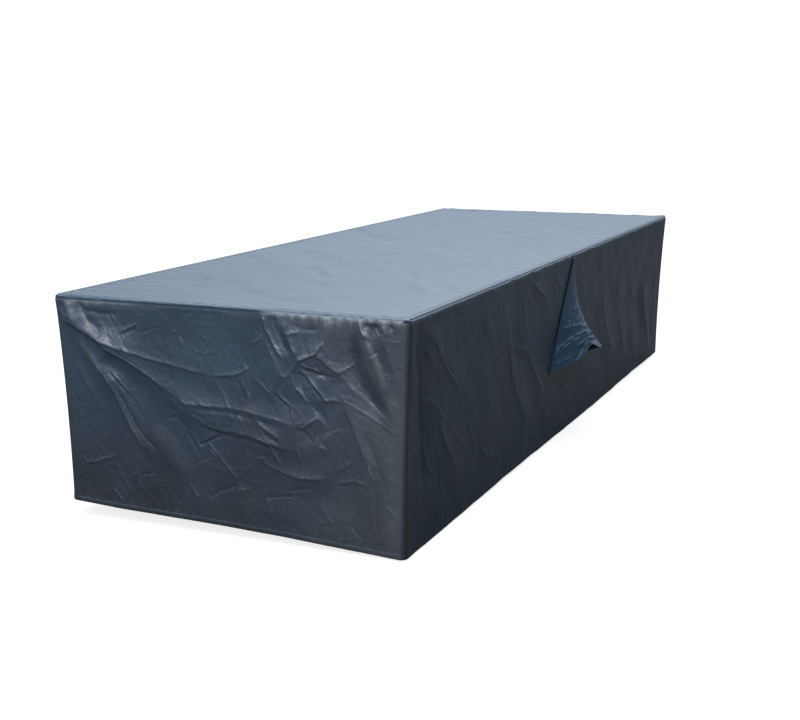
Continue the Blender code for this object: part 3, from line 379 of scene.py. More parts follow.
# On the top, x and y. Soft marks only: the cloth lies flat on what it covers.
TOP_CREASES = (
    (((-0.360, 0.325), (-0.300, 0.225), (-0.210, 0.120), (-0.130, 0.050)), -2.4, 22, 26, 1.5),
    (((-0.350, 0.345), (-0.280, 0.245), (-0.200, 0.150)), 1.6, 20, 18, 1.5),
    (((-0.010, 0.110), (0.030, -0.020), (0.075, -0.090), (0.120, -0.150), (0.180, -0.240)), -2.2, 16, 22, 1.5),
    (((0.150, -0.060), (0.215, -0.160), (0.270, -0.320)), 1.8, 18, 14, 1.5),
    (((0.160, -0.190), (0.182, -0.245)), -2.2, 8, 9, 1.3),
    (((-0.220, -0.170), (-0.120, -0.290), (-0.050, -0.390), (0.000, -0.470)), 1.8, 16, 14, 1.5),
    (((-0.090, -0.500), (-0.030, -0.580), (0.025, -0.665)), -2.4, 14, 16, 1.4),
    (((-0.075, -0.480), (0.010, -0.590), (0.055, -0.640)), 1.4, 10, 10, 1.4),
    (((0.050, -0.380), (0.070, -0.450), (0.110, -0.600)), 1.6, 10, 8, 1.4),
    (((0.140, -0.460), (0.165, -0.540), (0.195, -0.600)), -1.6, 9, 9, 1.4),
    (((0.020, 0.720), (0.060, 0.660), (0.130, 0.560)), -1.8, 18, 18, 1.6),
    (((0.110, 0.520), (0.150, 0.400), (0.185, 0.330)), -2.6, 12, 12, 1.4),
    (((0.170, 0.600), (0.210, 0.490), (0.270, 0.380)), -2.0, 16, 14, 1.5),
    (((0.060, 0.370), (0.100, 0.320), (0.135, 0.270)), -2.4, 12, 12, 1.4),
    (((-0.020, 0.560), (0.000, 0.490), (0.030, 0.400)), -1.6, 14, 14, 1.5),
    (((-0.200, 0.500), (-0.170, 0.390), (-0.140, 0.290), (-0.090, 0.190)), -1.8, 14, 14, 1.5),
    (((-0.260, 1.000), (-0.235, 0.920), (-0.215, 0.880)), -2.6, 14, 14, 1.4),
    (((-0.200, 1.000), (-0.175, 0.910)), -2.2, 12, 12, 1.4),
    (((-0.040, 0.830), (0.010, 0.700), (0.050, 0.580)), -1.6, 16, 16, 1.6),
    (((0.180, 1.020), (0.200, 0.960), (0.230, 0.930)), -2.4, 26, 26, 1.6),
    (((0.250, 0.560), (0.275, 0.470), (0.290, 0.360)), -1.8, 14, 12, 1.5),
    (((0.250, 0.060), (0.275, 0.000), (0.300, -0.100)), -2.0, 16, 14, 1.5),
    (((-0.370, -0.020), (-0.330, -0.070), (-0.300, -0.130)), -1.8, 14, 12, 1.5),
    (((-0.370, -0.110), (-0.320, -0.200), (-0.280, -0.290)), -1.8, 14, 12, 1.5),
    (((-0.370, -0.300), (-0.310, -0.390), (-0.250, -0.440)), -2.0, 14, 12, 1.5),
    (((-0.260, -0.620), (-0.210, -0.740)), 1.4, 12, 10, 1.5),
    (((-0.200, -0.800), (-0.150, -0.900)), -1.6, 12, 12, 1.5),
    (((-0.220, -0.230), (-0.200, -0.340)), -1.8, 12, 12, 1.5),
    (((0.290, -0.640), (0.310, -0.710)), -1.8, 16, 16, 1.6),
    (((0.180, -0.520), (0.220, -0.640), (0.300, -0.760)), 1.4, 20, 16, 1.7),
    (((-0.060, -0.840), (0.060, -0.930), (0.180, -0.960)), -1.2, 24, 20, 1.8),
    (((-0.300, 0.620), (-0.240, 0.560), (-0.170, 0.540)), 1.2, 20, 18, 1.7),
    (((-0.300, 0.800), (-0.200, 0.680), (-0.110, 0.620)), -1.4, 22, 20, 1.7),
)
# Small gathers at the seam: along the panel, half width, height (mm), reach down (mm).
PUCKER_COLUMNS = ("a", "width", "height", "reach")
FRONT_PUCKERS = (
    (-0.354, 0.006, -1.4, 14), (-0.334, 0.016, 1.8, 22), (-0.308, 0.007, -1.6, 16), (-0.290, 0.012, 1.6, 12),
    (-0.268, 0.007, 2.8, 13), (-0.250, 0.005, -1.2, 10), (-0.235, 0.009, 2.4, 12), (-0.212, 0.007, 1.6, 10),
    (-0.180, 0.010, 1.0, 9), (-0.134, 0.005, -1.4, 12), (-0.090, 0.006, 0.8, 12), (-0.025, 0.004, -1.2, 16),
    (0.040, 0.006, 0.6, 10), (0.087, 0.005, 2.6, 18), (0.101, 0.006, -2.4, 14), (0.120, 0.005, 2.4, 12),
    (0.133, 0.004, -1.6, 9), (0.145, 0.005, 2.0, 9), (0.155, 0.004, -1.6, 10), (0.168, 0.006, 2.8, 11),
    (0.182, 0.004, -2.0, 12), (0.190, 0.004, 1.4, 10), (0.200, 0.005, -2.0, 12), (0.216, 0.009, 3.0, 14),
    (0.230, 0.003, -1.8, 18), (0.238, 0.005, 2.0, 12), (0.250, 0.004, -1.4, 14), (0.262, 0.005, 2.0, 12),
    (0.270, 0.003, -2.2, 12), (0.279, 0.005, 3.2, 16), (0.290, 0.004, -3.0, 14), (0.299, 0.004, 2.4, 10),
    (0.307, 0.004, -2.8, 14), (0.318, 0.003, 1.6, 9), (0.327, 0.005, 3.2, 14), (0.340, 0.005, -3.0, 14), (0.353, 0.006, 2.2, 12),
)
RIGHT_PUCKERS = (
    (-0.985, 0.012, 2.0, 30), (-0.940, 0.012, -1.6, 30), (-0.900, 0.010, 1.6, 22), (-0.840, 0.008, -1.2, 16), (-0.780, 0.012, 1.2, 20),
    (-0.700, 0.010, -1.0, 16), (-0.610, 0.014, 1.4, 20), (-0.520, 0.012, 1.6, 26), (-0.475, 0.012, -1.8, 24), (-0.420, 0.008, 1.6, 16),
    (-0.380, 0.006, 1.6, 14), (-0.362, 0.007, 2.6, 14), (-0.345, 0.006, -2.0, 20), (-0.310, 0.010, 2.0, 22), (-0.270, 0.008, -1.6, 20),
    (-0.230, 0.009, 1.8, 20), (-0.190, 0.008, -1.4, 18), (-0.150, 0.010, 1.6, 20), (-0.100, 0.008, -1.0, 14), (-0.050, 0.009, 1.0, 12),
    (0.060, 0.008, 1.2, 14), (0.105, 0.008, 1.4, 20), (0.140, 0.007, -1.2, 16), (0.175, 0.008, 1.4, 18), (0.215, 0.008, -1.2, 16),
    (0.255, 0.010, 1.8, 26), (0.310, 0.009, -1.0, 16), (0.370, 0.010, 1.0, 16), (0.440, 0.010, -1.0, 16), (0.520, 0.012, 1.0, 16),
    (0.600, 0.010, -0.8, 14), (0.655, 0.010, 1.4, 18), (0.740, 0.012, -0.8, 16), (0.830, 0.012, 1.0, 18), (0.920, 0.012, -1.2, 22), (0.985, 0.012, 1.6, 26),
)
BACK_PUCKERS = (
    (-0.340, 0.008, 2.4, 20), (-0.318, 0.006, -2.0, 16), (-0.290, 0.008, 2.0, 14), (-0.220, 0.008, 1.4, 12), (-0.130, 0.007, -1.2, 12),
    (-0.060, 0.008, 1.4, 14), (0.030, 0.007, -1.2, 12), (0.110, 0.008, 1.8, 16), (0.170, 0.006, -1.4, 12), (0.230, 0.008, 2.0, 14),
    (0.290, 0.006, -1.8, 14), (0.320, 0.007, 2.4, 18), (0.345, 0.006, -2.0, 14),
)
LEFT_PUCKERS = (
    (-0.980, 0.010, 2.0, 26), (-0.930, 0.010, -1.6, 22), (-0.850, 0.010, 1.4, 18), (-0.760, 0.010, -1.0, 16), (-0.690, 0.011, 1.4, 20),
    (-0.570, 0.009, -1.0, 14), (-0.450, 0.010, 1.6, 22), (-0.362, 0.007, 2.0, 14), (-0.300, 0.009, -1.2, 16), (-0.240, 0.009, 1.6, 18),
    (-0.130, 0.011, 1.2, 18), (-0.020, 0.009, -1.0, 14), (0.090, 0.010, 1.2, 16), (0.170, 0.010, 1.6, 22), (0.280, 0.009, -1.2, 16),
    (0.350, 0.008, 1.6, 16), (0.460, 0.011, 1.4, 20), (0.570, 0.009, -1.0, 14), (0.650, 0.010, 1.4, 18), (0.790, 0.010, 1.2, 16),
    (0.880, 0.010, -1.4, 20), (0.950, 0.010, 2.0, 24),
)

# Painted light (above nought) and painted shade (below) on the panels: the line, how much, and its widths (mm) above
# and below.
FRONT_LIGHT_AND_SHADE = (
    # painted shade on the near corner's lap
    (((0.3705, 0.120), (0.3705, -0.600)), -1.3, 12, 7, 2.2),
    (((-0.342, 0.000), (-0.338, -0.024), (-0.328, -0.040), (-0.308, -0.056), (-0.282, -0.068)), 0.60, 15, 9, 2.2),
    (((-0.290, -0.070), (-0.262, -0.080), (-0.240, -0.087)), 0.40, 8, 3, 1.8),
    (((-0.322, -0.082), (-0.300, -0.108), (-0.270, -0.148)), 0.58, 15, 10, 2.4),
    (((-0.264, -0.146), (-0.242, -0.184), (-0.218, -0.232), (-0.190, -0.276)), 0.62, 7, 5, 3.2),
    (((-0.258, -0.166), (-0.236, -0.200), (-0.212, -0.246), (-0.186, -0.286)), -0.50, 1, 9, 1.8),
    (((-0.250, -0.092), (-0.205, -0.115), (-0.160, -0.136)), 0.20, 10, 4, 2.0),
    (((-0.372, -0.080), (-0.366, -0.180), (-0.362, -0.300)), -0.45, 8, 10, 2.0),
    (((-0.298, -0.022), (-0.282, -0.042), (-0.258, -0.058)), -0.40, 9, 7, 2.0),
    (((0.300, -0.056), (0.312, -0.088), (0.328, -0.122), (0.345, -0.162), (0.354, -0.210)), 0.30, 20, 18, 2.6),
    (((0.276, -0.004), (0.284, -0.020), (0.294, -0.038), (0.302, -0.052)), 0.20, 9, 6, 2.2),
    (((0.319, -0.004), (0.325, -0.018), (0.331, -0.032)), 0.40, 5, 4, 2.2),
    (((0.336, -0.004), (0.342, -0.014), (0.344, -0.026)), -0.60, 4, 3, 1.8),
    (((0.296, -0.036), (0.310, -0.068), (0.322, -0.096), (0.336, -0.120)), 0.34, 5, 12, 2.2),
    (((0.303, -0.006), (0.312, -0.026)), -0.45, 8, 6, 2.0),
    (((0.340, -0.200), (0.348, -0.290), (0.352, -0.400)), 0.22, 20, 18, 2.2),
    (((0.268, -0.012), (0.270, -0.050), (0.274, -0.080), (0.292, -0.112), (0.318, -0.154), (0.340, -0.186)), -1.05, 17, 16, 3.0),
    (((0.296, -0.008), (0.308, -0.030), (0.322, -0.060), (0.334, -0.090), (0.345, -0.114)), -1.55, 14, 13, 3.4),
    (((0.232, -0.030), (0.240, -0.060), (0.236, -0.090)), -0.20, 12, 12, 2.0),
    (((0.170, -0.116), (0.200, -0.120), (0.228, -0.116)), -0.35, 9, 7, 2.0),
    (((0.096, -0.026), (0.108, -0.052), (0.124, -0.080)), 0.30, 4, 3, 1.8),
    (((-0.090, -0.176), (0.000, -0.172), (0.100, -0.182)), 0.16, 12, 4, 2.0),
    (((-0.070, -0.210), (0.020, -0.214), (0.110, -0.236)), 0.16, 10, 4, 2.0),
    (((-0.060, -0.244), (0.030, -0.250), (0.110, -0.264)), -0.30, 6, 12, 2.0),
    (((-0.080, -0.202), (0.000, -0.200), (0.080, -0.208)), -0.22, 4, 7, 2.0),
    (((0.262, -0.168), (0.290, -0.236), (0.312, -0.320)), 0.22, 12, 6, 2.0),
    (((0.240, -0.200), (0.262, -0.270), (0.286, -0.340)), -0.25, 8, 10, 2.0),
    (((0.080, -0.300), (0.160, -0.312), (0.230, -0.304)), -0.18, 6, 14, 2.0),
    (((-0.030, -0.376), (0.080, -0.384), (0.200, -0.392)), -0.22, 20, 14, 2.0),
    (((0.206, -0.212), (0.236, -0.204), (0.262, -0.214)), 0.16, 14, 16, 2.0),
    (((-0.120, -0.100), (-0.112, -0.140), (-0.096, -0.186)), -0.35, 2, 2, 1.6),
    (((-0.060, -0.060), (-0.052, -0.110), (-0.030, -0.160)), -0.30, 2, 2, 1.6),
    (((-0.048, -0.150), (-0.026, -0.190), (-0.012, -0.226)), 0.34, 2, 2, 1.5),
    (((0.010, -0.110), (0.022, -0.152), (0.040, -0.190)), -0.40, 2, 2, 1.6),
    (((0.046, -0.096), (0.056, -0.140), (0.050, -0.176)), 0.34, 2, 2, 1.5),
    (((0.092, -0.146), (0.118, -0.196), (0.150, -0.238)), -0.40, 2, 2, 1.6),
    (((0.150, -0.160), (0.178, -0.206), (0.206, -0.262)), 0.30, 2, 2, 1.5),
    (((0.196, -0.150), (0.230, -0.206), (0.262, -0.250)), -0.34, 3, 2, 1.6),
    (((-0.200, -0.190), (-0.170, -0.240), (-0.148, -0.290)), -0.34, 2, 2, 1.6),
    (((-0.150, -0.230), (-0.112, -0.262), (-0.086, -0.300)), 0.30, 2, 2, 1.5),
    (((-0.060, -0.290), (-0.010, -0.302), (0.050, -0.292)), 0.26, 2, 2, 1.5),
    (((0.000, -0.250), (0.026, -0.286), (0.036, -0.320)), -0.34, 2, 2, 1.6),
    (((0.110, -0.270), (0.130, -0.310), (0.160, -0.350)), 0.26, 2, 2, 1.5),
    (((0.280, -0.260), (0.300, -0.320), (0.306, -0.380)), -0.30, 3, 2, 1.6),
)
RIGHT_LIGHT_AND_SHADE = (
    (((-0.017, 0.000), (0.004, -0.060), (0.028, -0.104), (0.052, -0.146)), -0.90, 8, 6, 2.0),   # painted shadow beside and below the hood's edges
    (((-0.174, -0.245), (-0.178, -0.275), (-0.180, -0.312)), -1.10, 6, 5, 2.0),
    (((-1.020, -0.040), (-1.010, -0.160), (-0.990, -0.280), (-0.965, -0.420)), -0.90, 14, 20, 2.4),
    (((-0.980, -0.180), (-0.950, -0.300), (-0.910, -0.420)), -0.45, 18, 18, 2.0),
    (((-0.940, -0.060), (-0.890, -0.110), (-0.830, -0.170)), 0.16, 12, 8, 2.0),
    (((-0.880, -0.200), (-0.830, -0.280), (-0.790, -0.340)), 0.18, 18, 10, 2.0),
    (((-0.700, -0.060), (-0.640, -0.180), (-0.590, -0.330)), -0.20, 26, 30, 2.0),
    (((-0.760, -0.050), (-0.690, -0.130), (-0.640, -0.210)), 0.26, 4, 8, 2.0),
    (((-0.600, -0.040), (-0.560, -0.080), (-0.500, -0.150)), 0.24, 4, 9, 2.0),
    (((-0.470, -0.030), (-0.430, -0.070), (-0.400, -0.120)), 0.24, 4, 8, 2.0),
    (((0.180, -0.030), (0.210, -0.090), (0.250, -0.160)), 0.22, 5, 9, 2.0),
    (((0.500, -0.100), (0.560, -0.160), (0.640, -0.220)), 0.22, 5, 9, 2.0),
    (((-0.560, -0.080), (-0.500, -0.180), (-0.440, -0.280)), 0.18, 22, 16, 2.0),
    (((-0.420, -0.080), (-0.395, -0.180), (-0.360, -0.250)), -0.25, 16, 18, 2.0),
    (((-0.350, -0.050), (-0.300, -0.110), (-0.260, -0.200)), 0.16, 18, 14, 2.0),
    (((-0.240, -0.140), (-0.220, -0.260), (-0.180, -0.350)), -0.28, 14, 20, 2.0),
    (((-0.190, -0.262), (-0.120, -0.290), (-0.020, -0.300)), -0.45, 10, 22, 2.0),
    (((-0.080, -0.320), (0.060, -0.350), (0.180, -0.390)), 0.20, 18, 18, 2.0),
    (((0.130, -0.060), (0.160, -0.180), (0.220, -0.300)), -0.16, 22, 24, 2.0),
    (((0.260, -0.080), (0.320, -0.200), (0.400, -0.320)), 0.20, 20, 16, 2.0),
    (((0.420, -0.060), (0.450, -0.160), (0.490, -0.240)), -0.22, 20, 20, 2.0),
    (((0.560, -0.060), (0.620, -0.180), (0.700, -0.320)), 0.20, 26, 20, 2.0),
    (((0.720, -0.080), (0.750, -0.200), (0.790, -0.320)), -0.25, 20, 20, 2.0),
    (((0.840, -0.080), (0.880, -0.200), (0.930, -0.340)), 0.24, 26, 22, 2.0),
    (((1.000, -0.060), (1.005, -0.200), (1.000, -0.400)), -0.35, 16, 16, 2.0),
)
BACK_LIGHT_AND_SHADE = (
    (((-0.350, -0.010), (-0.310, -0.050), (-0.250, -0.110)), 0.40, 14, 8, 2.0),
    (((0.350, -0.014), (0.300, -0.080), (0.250, -0.150)), 0.30, 12, 10, 2.0),
    (((-0.140, -0.160), (-0.110, -0.300), (-0.100, -0.390)), 0.18, 16, 14, 2.0),
    (((0.060, -0.100), (0.090, -0.240), (0.100, -0.330)), -0.25, 16, 16, 2.0),
    (((-0.366, -0.080), (-0.360, -0.220), (-0.358, -0.390)), -0.40, 10, 10, 2.0),
)
LEFT_LIGHT_AND_SHADE = (
    (((-0.990, -0.050), (-0.920, -0.140), (-0.850, -0.240)), 0.26, 20, 12, 2.0),
    (((-0.680, -0.080), (-0.640, -0.220), (-0.600, -0.360)), 0.18, 22, 18, 2.0),
    (((-0.540, -0.060), (-0.500, -0.200), (-0.480, -0.360)), -0.22, 22, 22, 2.0),
    (((-0.400, -0.120), (-0.350, -0.260), (-0.310, -0.380)), 0.18, 20, 16, 2.0),
    (((-0.180, -0.080), (-0.150, -0.220), (-0.120, -0.360)), -0.24, 22, 20, 2.0),
    (((0.040, -0.060), (0.120, -0.200), (0.180, -0.340)), 0.18, 20, 16, 2.0),
    (((0.300, -0.100), (0.330, -0.240), (0.350, -0.380)), -0.22, 22, 22, 2.0),
    (((0.480, -0.080), (0.520, -0.220), (0.560, -0.360)), 0.18, 22, 18, 2.0),
    (((0.980, -0.050), (0.910, -0.150), (0.850, -0.260)), 0.26, 12, 20, 2.0),
    (((0.760, -0.080), (0.740, -0.220), (0.760, -0.380)), -0.22, 22, 22, 2.0),
)
PAINTED_LIGHT_AND_SHADE = {"front_panel": FRONT_LIGHT_AND_SHADE, "side_panel_right": RIGHT_LIGHT_AND_SHADE, "back_panel": BACK_LIGHT_AND_SHADE, "side_panel_left": LEFT_LIGHT_AND_SHADE}

PANEL_COLUMNS = ("along", "out", "half", "distance", "folds", "creases", "facets", "puckers", "columns", "rows", "phase")
PANELS = {
    "front_panel": ((1, 0), (0, -1), HALF_WIDTH, HALF_LENGTH, FRONT_FOLDS, FRONT_CREASES, FRONT_FACETS, FRONT_PUCKERS, 388, 236, 0.0),
    "side_panel_right": ((0, 1), (1, 0), HALF_LENGTH, HALF_WIDTH, RIGHT_FOLDS, RIGHT_CREASES, (), RIGHT_PUCKERS, 560, 116, 1.7),
    "back_panel": ((-1, 0), (0, 1), HALF_WIDTH, HALF_LENGTH, BACK_FOLDS, BACK_CREASES, (), BACK_PUCKERS, 240, 120, 3.1),
    "side_panel_left": ((0, -1), (-1, 0), HALF_LENGTH, HALF_WIDTH, LEFT_FOLDS, LEFT_CREASES, (), LEFT_PUCKERS, 440, 100, 4.6),
}
# How much of each kind of relief a panel takes; random facets are (spacing m, height m),
# small creases (count, half length, depth, length (m), height (mm), lean and its spread (degrees)).
RELIEF = {
    "front_panel": {"folds": 0.50, "creases": 0.62, "facets": 0.80, "random": ((0.036, 0.00085), (0.013, 0.00028), (0.0075, 0.00013)), "small": (260, 0.36, 0.43, 0.024, 0.75, -58.0, 40.0)},
    "side_panel_right": {"folds": 0.65, "creases": 0.60, "facets": 0.0, "random": ((0.055, 0.00055), (0.024, 0.00024)), "small": (170, 1.02, 0.43, 0.050, 0.8, -58.0, 30.0)},
    "back_panel": {"folds": 0.80, "creases": 0.50, "facets": 0.0, "random": ((0.045, 0.00065), (0.020, 0.00018)), "small": (60, 0.36, 0.43, 0.040, 1.2, -58.0, 40.0)},
    "side_panel_left": {"folds": 0.80, "creases": 0.55, "facets": 0.0, "random": ((0.055, 0.00065), (0.024, 0.00018)), "small": (90, 1.02, 0.43, 0.060, 1.2, -58.0, 34.0)},
}
CREASE_WIDTH = 0.66
CORNER_STEPS = 6
SIDE_STITCH = 0.030      # the top's seam allowance is stitched down this far below the seam
HEM_STITCH = 0.0085      # and the hem's stitching runs this far above the edge
HEM_TURN = 0.018         # the hem is turned up this far inside


# ---------------------------------------------------------------- shape helpers
def smooth(value):
    value = np.clip(value, 0.0, 1.0)
    return value * value * (3.0 - 2.0 * value)


def fold_height(rows, a, z):
    total = np.zeros_like(a)
    for row in rows:
        fold = dict(zip(FOLD_COLUMNS, row))
        run_a, run_z = fold["a1"] - fold["a0"], fold["z1"] - fold["z0"]
        off_a, off_z = a - fold["a0"], z - fold["z0"]
        share = np.clip((off_a * run_a + off_z * run_z) / (run_a ** 2 + run_z ** 2), 0, 1)
        away = np.hypot(off_a - share * run_a, off_z - share * run_z)
        side = (off_z * run_a - off_a * run_z) * (1 if run_a >= 0 else -1)
        width = np.where(side > 0, fold["above"], fold["below"])
        total += fold["height"] * np.exp(-((away / width) ** 2))
    return total


def table_z(name, a, z):
    """The depth to look up in a panel's tables, which were read with a hem a little higher."""
    if name == "front_panel":
        return z / (1.002 + 0.039 * (0.5 + 0.5 * a / HALF_WIDTH))
    return z / (1.035 if name == "side_panel_right" else 1.0)


def snap_to_creases(rows, a, z, cell, limit):
    """Grid points within half a cell of a crease, moved onto it, so that its crest comes out crisp."""
    best = np.full(a.shape, 0.40 * cell)
    to_a, to_z = a.copy(), z.copy()
    for row in rows:
        points = np.array(row[0])
        near = (
            (a > points[:, 0].min() - cell) & (a < points[:, 0].max() + cell)
            & (z > points[:, 1].min() - cell) & (z < points[:, 1].max() + cell) & limit
        )
        if row[1] == 0 or not near.any():
            continue
        pa, pz = a[near], z[near]
        close, at_a, at_z = best[near], to_a[near], to_z[near]
        for p, run in zip(points, np.diff(points, axis=0)):
            share = ((pa - p[0]) * run[0] + (pz - p[1]) * run[1]) / (run[0] ** 2 + run[1] ** 2)
            share = np.clip(share, 0, 1)
            foot_a, foot_z = p[0] + share * run[0], p[1] + share * run[1]
            away = np.hypot(pa - foot_a, pz - foot_z)
            closer = away < close
            close = np.where(closer, away, close)
            at_a, at_z = np.where(closer, foot_a, at_a), np.where(closer, foot_z, at_z)
        best[near], to_a[near], to_z[near] = close, at_a, at_z
    return to_a, to_z


def crease_height(rows, a, z):
    """Sum of the listed creases: each rises from its ends, and falls off at its own width on either side."""
    total = np.zeros_like(a)
    for row in rows:
        crease = dict(zip(CREASE_COLUMNS, row))
        points = np.array(crease["points"])
        above, below = crease["above"] / 1000, crease["below"] / 1000
        reach = 3.2 * max(above, below)
        near = (
            (a > points[:, 0].min() - reach) & (a < points[:, 0].max() + reach)
            & (z > points[:, 1].min() - reach) & (z < points[:, 1].max() + reach)
        )
        if not near.any():
            continue
        pa, pz = a[near], z[near]
        runs = np.diff(points, axis=0)
        lengths = np.hypot(runs[:, 0], runs[:, 1])
        starts = np.concatenate([[0.0], np.cumsum(lengths)[:-1]])
        best = np.full(pa.shape, 9.0)
        where = np.zeros(pa.shape)
        side = np.zeros(pa.shape)
        for p, run, length, start in zip(points, runs, lengths, starts):
            off_a, off_z = pa - p[0], pz - p[1]
            share = np.clip((off_a * run[0] + off_z * run[1]) / length ** 2, 0, 1)
            away = np.hypot(off_a - share * run[0], off_z - share * run[1])
            closer = away < best
            best = np.where(closer, away, best)
            where = np.where(closer, start + share * length, where)
            side = np.where(closer, off_z * run[0] - off_a * run[1], side)
        whole = lengths.sum()
        if points[-1, 0] < points[0, 0]:
            side = -side
        width = np.maximum(0.0018, CREASE_WIDTH * np.where(side > 0, above, below))
        taper = smooth(where / (0.16 * whole) + 0.25) * smooth((whole - where) / (0.24 * whole) + 0.15)
        total[near] += crease["height"] / 1000 * taper * np.exp(-((best / width) ** crease["power"]))
    return total


def crease_marks(rows, a, z, pen=0.0015):
    """Where creases show as thin lines, 0 to 1: rubbed pale and a painted highlight along a crest, painted shade in a
    trough and painted shadow under a crest.
    """
    pale, dark = np.zeros_like(a), np.zeros_like(a)
    for row in rows:
        crease = dict(zip(CREASE_COLUMNS, row))
        points = np.array(crease["points"])
        near = (
            (a > points[:, 0].min() - 0.010) & (a < points[:, 0].max() + 0.010)
            & (z > points[:, 1].min() - 0.010) & (z < points[:, 1].max() + 0.010)
        )
        if not near.any():
            continue
        pa, pz = a[near], z[near]
        runs = np.diff(points, axis=0)
        lengths = np.hypot(runs[:, 0], runs[:, 1])
        starts = np.concatenate([[0.0], np.cumsum(lengths)[:-1]])
        best, where, side = np.full(pa.shape, 9.0), np.zeros(pa.shape), np.zeros(pa.shape)
        for p, run, length, start in zip(points, runs, lengths, starts):
            off_a, off_z = pa - p[0], pz - p[1]
            share = np.clip((off_a * run[0] + off_z * run[1]) / length ** 2, 0, 1)
            away = np.hypot(off_a - share * run[0], off_z - share * run[1])
            closer = away < best
            best = np.where(closer, away, best)
            where = np.where(closer, start + share * length, where)
            side = np.where(closer, off_z * run[0] - off_a * run[1], side)
        whole = lengths.sum()
        if points[-1, 0] < points[0, 0]:
            side = -side
        strength = min(1.0, abs(crease["height"]) / 4.0) * smooth(where / (0.30 * whole)) * smooth((whole - where) / (0.35 * whole))
        strength = strength * (0.55 + 0.45 * np.sin(where * 190.0 + 40.0 * points[0, 0]))
        if crease["height"] > 0:
            pale[near] += strength * np.exp(-((best / pen) ** 2))
            dark[near] += 0.7 * strength * np.exp(-(((best - 0.0030) / 0.0018) ** 2)) * (side < 0)
        else:
            dark[near] += strength * np.exp(-((best / 0.0020) ** 2))
    return np.clip(pale, 0, 1), np.clip(dark, 0, 1)


def facet_height(points, a, z, half):
    """Flat facets between points of a table, as crumpled cloth has."""
    if not points:
        return np.zeros_like(a)
    stations = a[0]   # the other rows may be moved by up to a cell
    rows = [(p, q, h / 1000) for p, q, h in points]
    for k in range(17):
        edge = -half + 2 * half * k / 16
        rows += [(edge, -0.004, 0.0), (edge, -0.432, 0.0)]
    for k in range(1, 9):
        rows += [(-half, -0.048 * k, 0.0), (half, -0.048 * k, 0.0)]
    found = geometry.delaunay_2d_cdt([Vector((p, q)) for p, q, _ in rows], [], [], 0, 1e-5)
    places, triangles, kept = found[0], found[2], found[3]
    heights = [rows[ids[0]][2] if ids else 0.0 for ids in kept]
    total = np.zeros_like(a)
    for i, j, k in triangles:
        (ax, az), (bx, bz), (cx, cz) = places[i], places[j], places[k]
        area = (bx - ax) * (cz - az) - (cx - ax) * (bz - az)
        if abs(area) < 1e-12:
            continue
        first, last = np.searchsorted(stations, (min(ax, bx, cx) - 0.003, max(ax, bx, cx) + 0.003), side="left")
        pa, pz = a[:, first:last + 1], z[:, first:last + 1]
        v = ((pa - ax) * (cz - az) - (cx - ax) * (pz - az)) / area
        w = ((bx - ax) * (pz - az) - (pa - ax) * (bz - az)) / area
        inside = (v >= -1e-9) & (w >= -1e-9) & (v + w <= 1 + 1e-9)
        plane = heights[i] + v * (heights[j] - heights[i]) + w * (heights[k] - heights[i])
        total[:, first:last + 1] = np.where(inside, plane, total[:, first:last + 1])
    return total


def random_facets(spacing, tall, half, depth, seed):
    """Points of uneven height for facet_height, thrown over a panel about one spacing apart."""
    dice = np.random.default_rng(seed)
    wide, high = int(2 * half / spacing), int(depth / spacing)
    rows = []
    for j in range(high):
        for i in range(wide):
            p = -half + 2 * half * (i + 0.5 + 0.85 * (dice.random() - 0.5)) / wide
            q = -depth * (j + 0.5 + 0.85 * (dice.random() - 0.5)) / high
            rows.append((p, q, tall * dice.normal()))
    return tuple(rows)


def small_creases(spread, seed):
    """Short fine creases thrown over a panel: how many, its half length and depth, their length, height (mm) and lean."""
    count, half, depth, length, tall, lean, stray = spread
    dice = np.random.default_rng(seed)
    rows = []
    for _ in range(count):
        p, q = half * (2 * dice.random() - 1) * 0.96, -depth * (0.03 + 0.93 * dice.random())
        turn = math.radians(lean + stray * dice.normal())
        size = length * (0.5 + 1.1 * dice.random())
        bend = 0.25 * dice.normal()
        dp, dq = math.cos(turn) * size / 2, math.sin(turn) * size / 2
        middle = (p - bend * dq * 0.5, q + bend * dp * 0.5)
        points = sorted(((p - dp, q - dq), middle, (p + dp, q + dq)))
        high = tall * (0.5 + dice.random()) * (1 if dice.random() < 0.6 else -1)
        rows.append((tuple(points), high, 2.6 + 2.2 * dice.random(), 2.4 + 1.4 * dice.random(), 1.2))
    return tuple(rows)


def soften(field, times):
    """A small blur over the grid, which rounds the facets' creases."""
    for _ in range(times):
        for axis in (0, 1):
            padded = np.pad(field, [(1, 1) if k == axis else (0, 0) for k in (0, 1)], mode="edge")
            lo = padded[:-2] if axis == 0 else padded[:, :-2]
            hi = padded[2:] if axis == 0 else padded[:, 2:]
            field = 0.25 * lo + 0.5 * field + 0.25 * hi
    return field


def slack(a, z, phase):
    """Slow unevenness, so that nothing is dead flat."""
    return 0.0005 * (
        np.sin(21.0 * a + 13.0 * z + phase) * np.cos(17.0 * z - 9.0 * a + 1.3 * phase)
        + 0.7 * np.sin(37.0 * a - 29.0 * z + 2.1 * phase)
        + 0.5 * np.sin(63.0 * a + 51.0 * z + 0.7 * phase)
    )


def hem_z(x, y):
    across = 0.5 + 0.5 * x / HALF_WIDTH
    along = 0.5 + 0.5 * y / HALF_LENGTH
    front = HEM_Z["front_left"] + (HEM_Z["front_right"] - HEM_Z["front_left"]) * across
    back = HEM_Z["back_left"] + (HEM_Z["back_right"] - HEM_Z["back_left"]) * across
    wave = HEM_WAVE * np.sin(9.0 * x + 1.0) * np.sin(5.2 * y + 0.6)
    return front + (back - front) * along + wave


def leaning(points):
    """The skirt's points, drawn in towards the middle by how far down they are."""
    share = np.maximum(0.0, -points[..., 2] - LIP_DEPTH) / LEAN_DEPTH
    drawn = points.copy()
    drawn[..., 0] *= 1.0 - LEAN_X / HALF_WIDTH * share
    drawn[..., 1] *= 1.0 - LEAN_Y / HALF_LENGTH * share
    return drawn


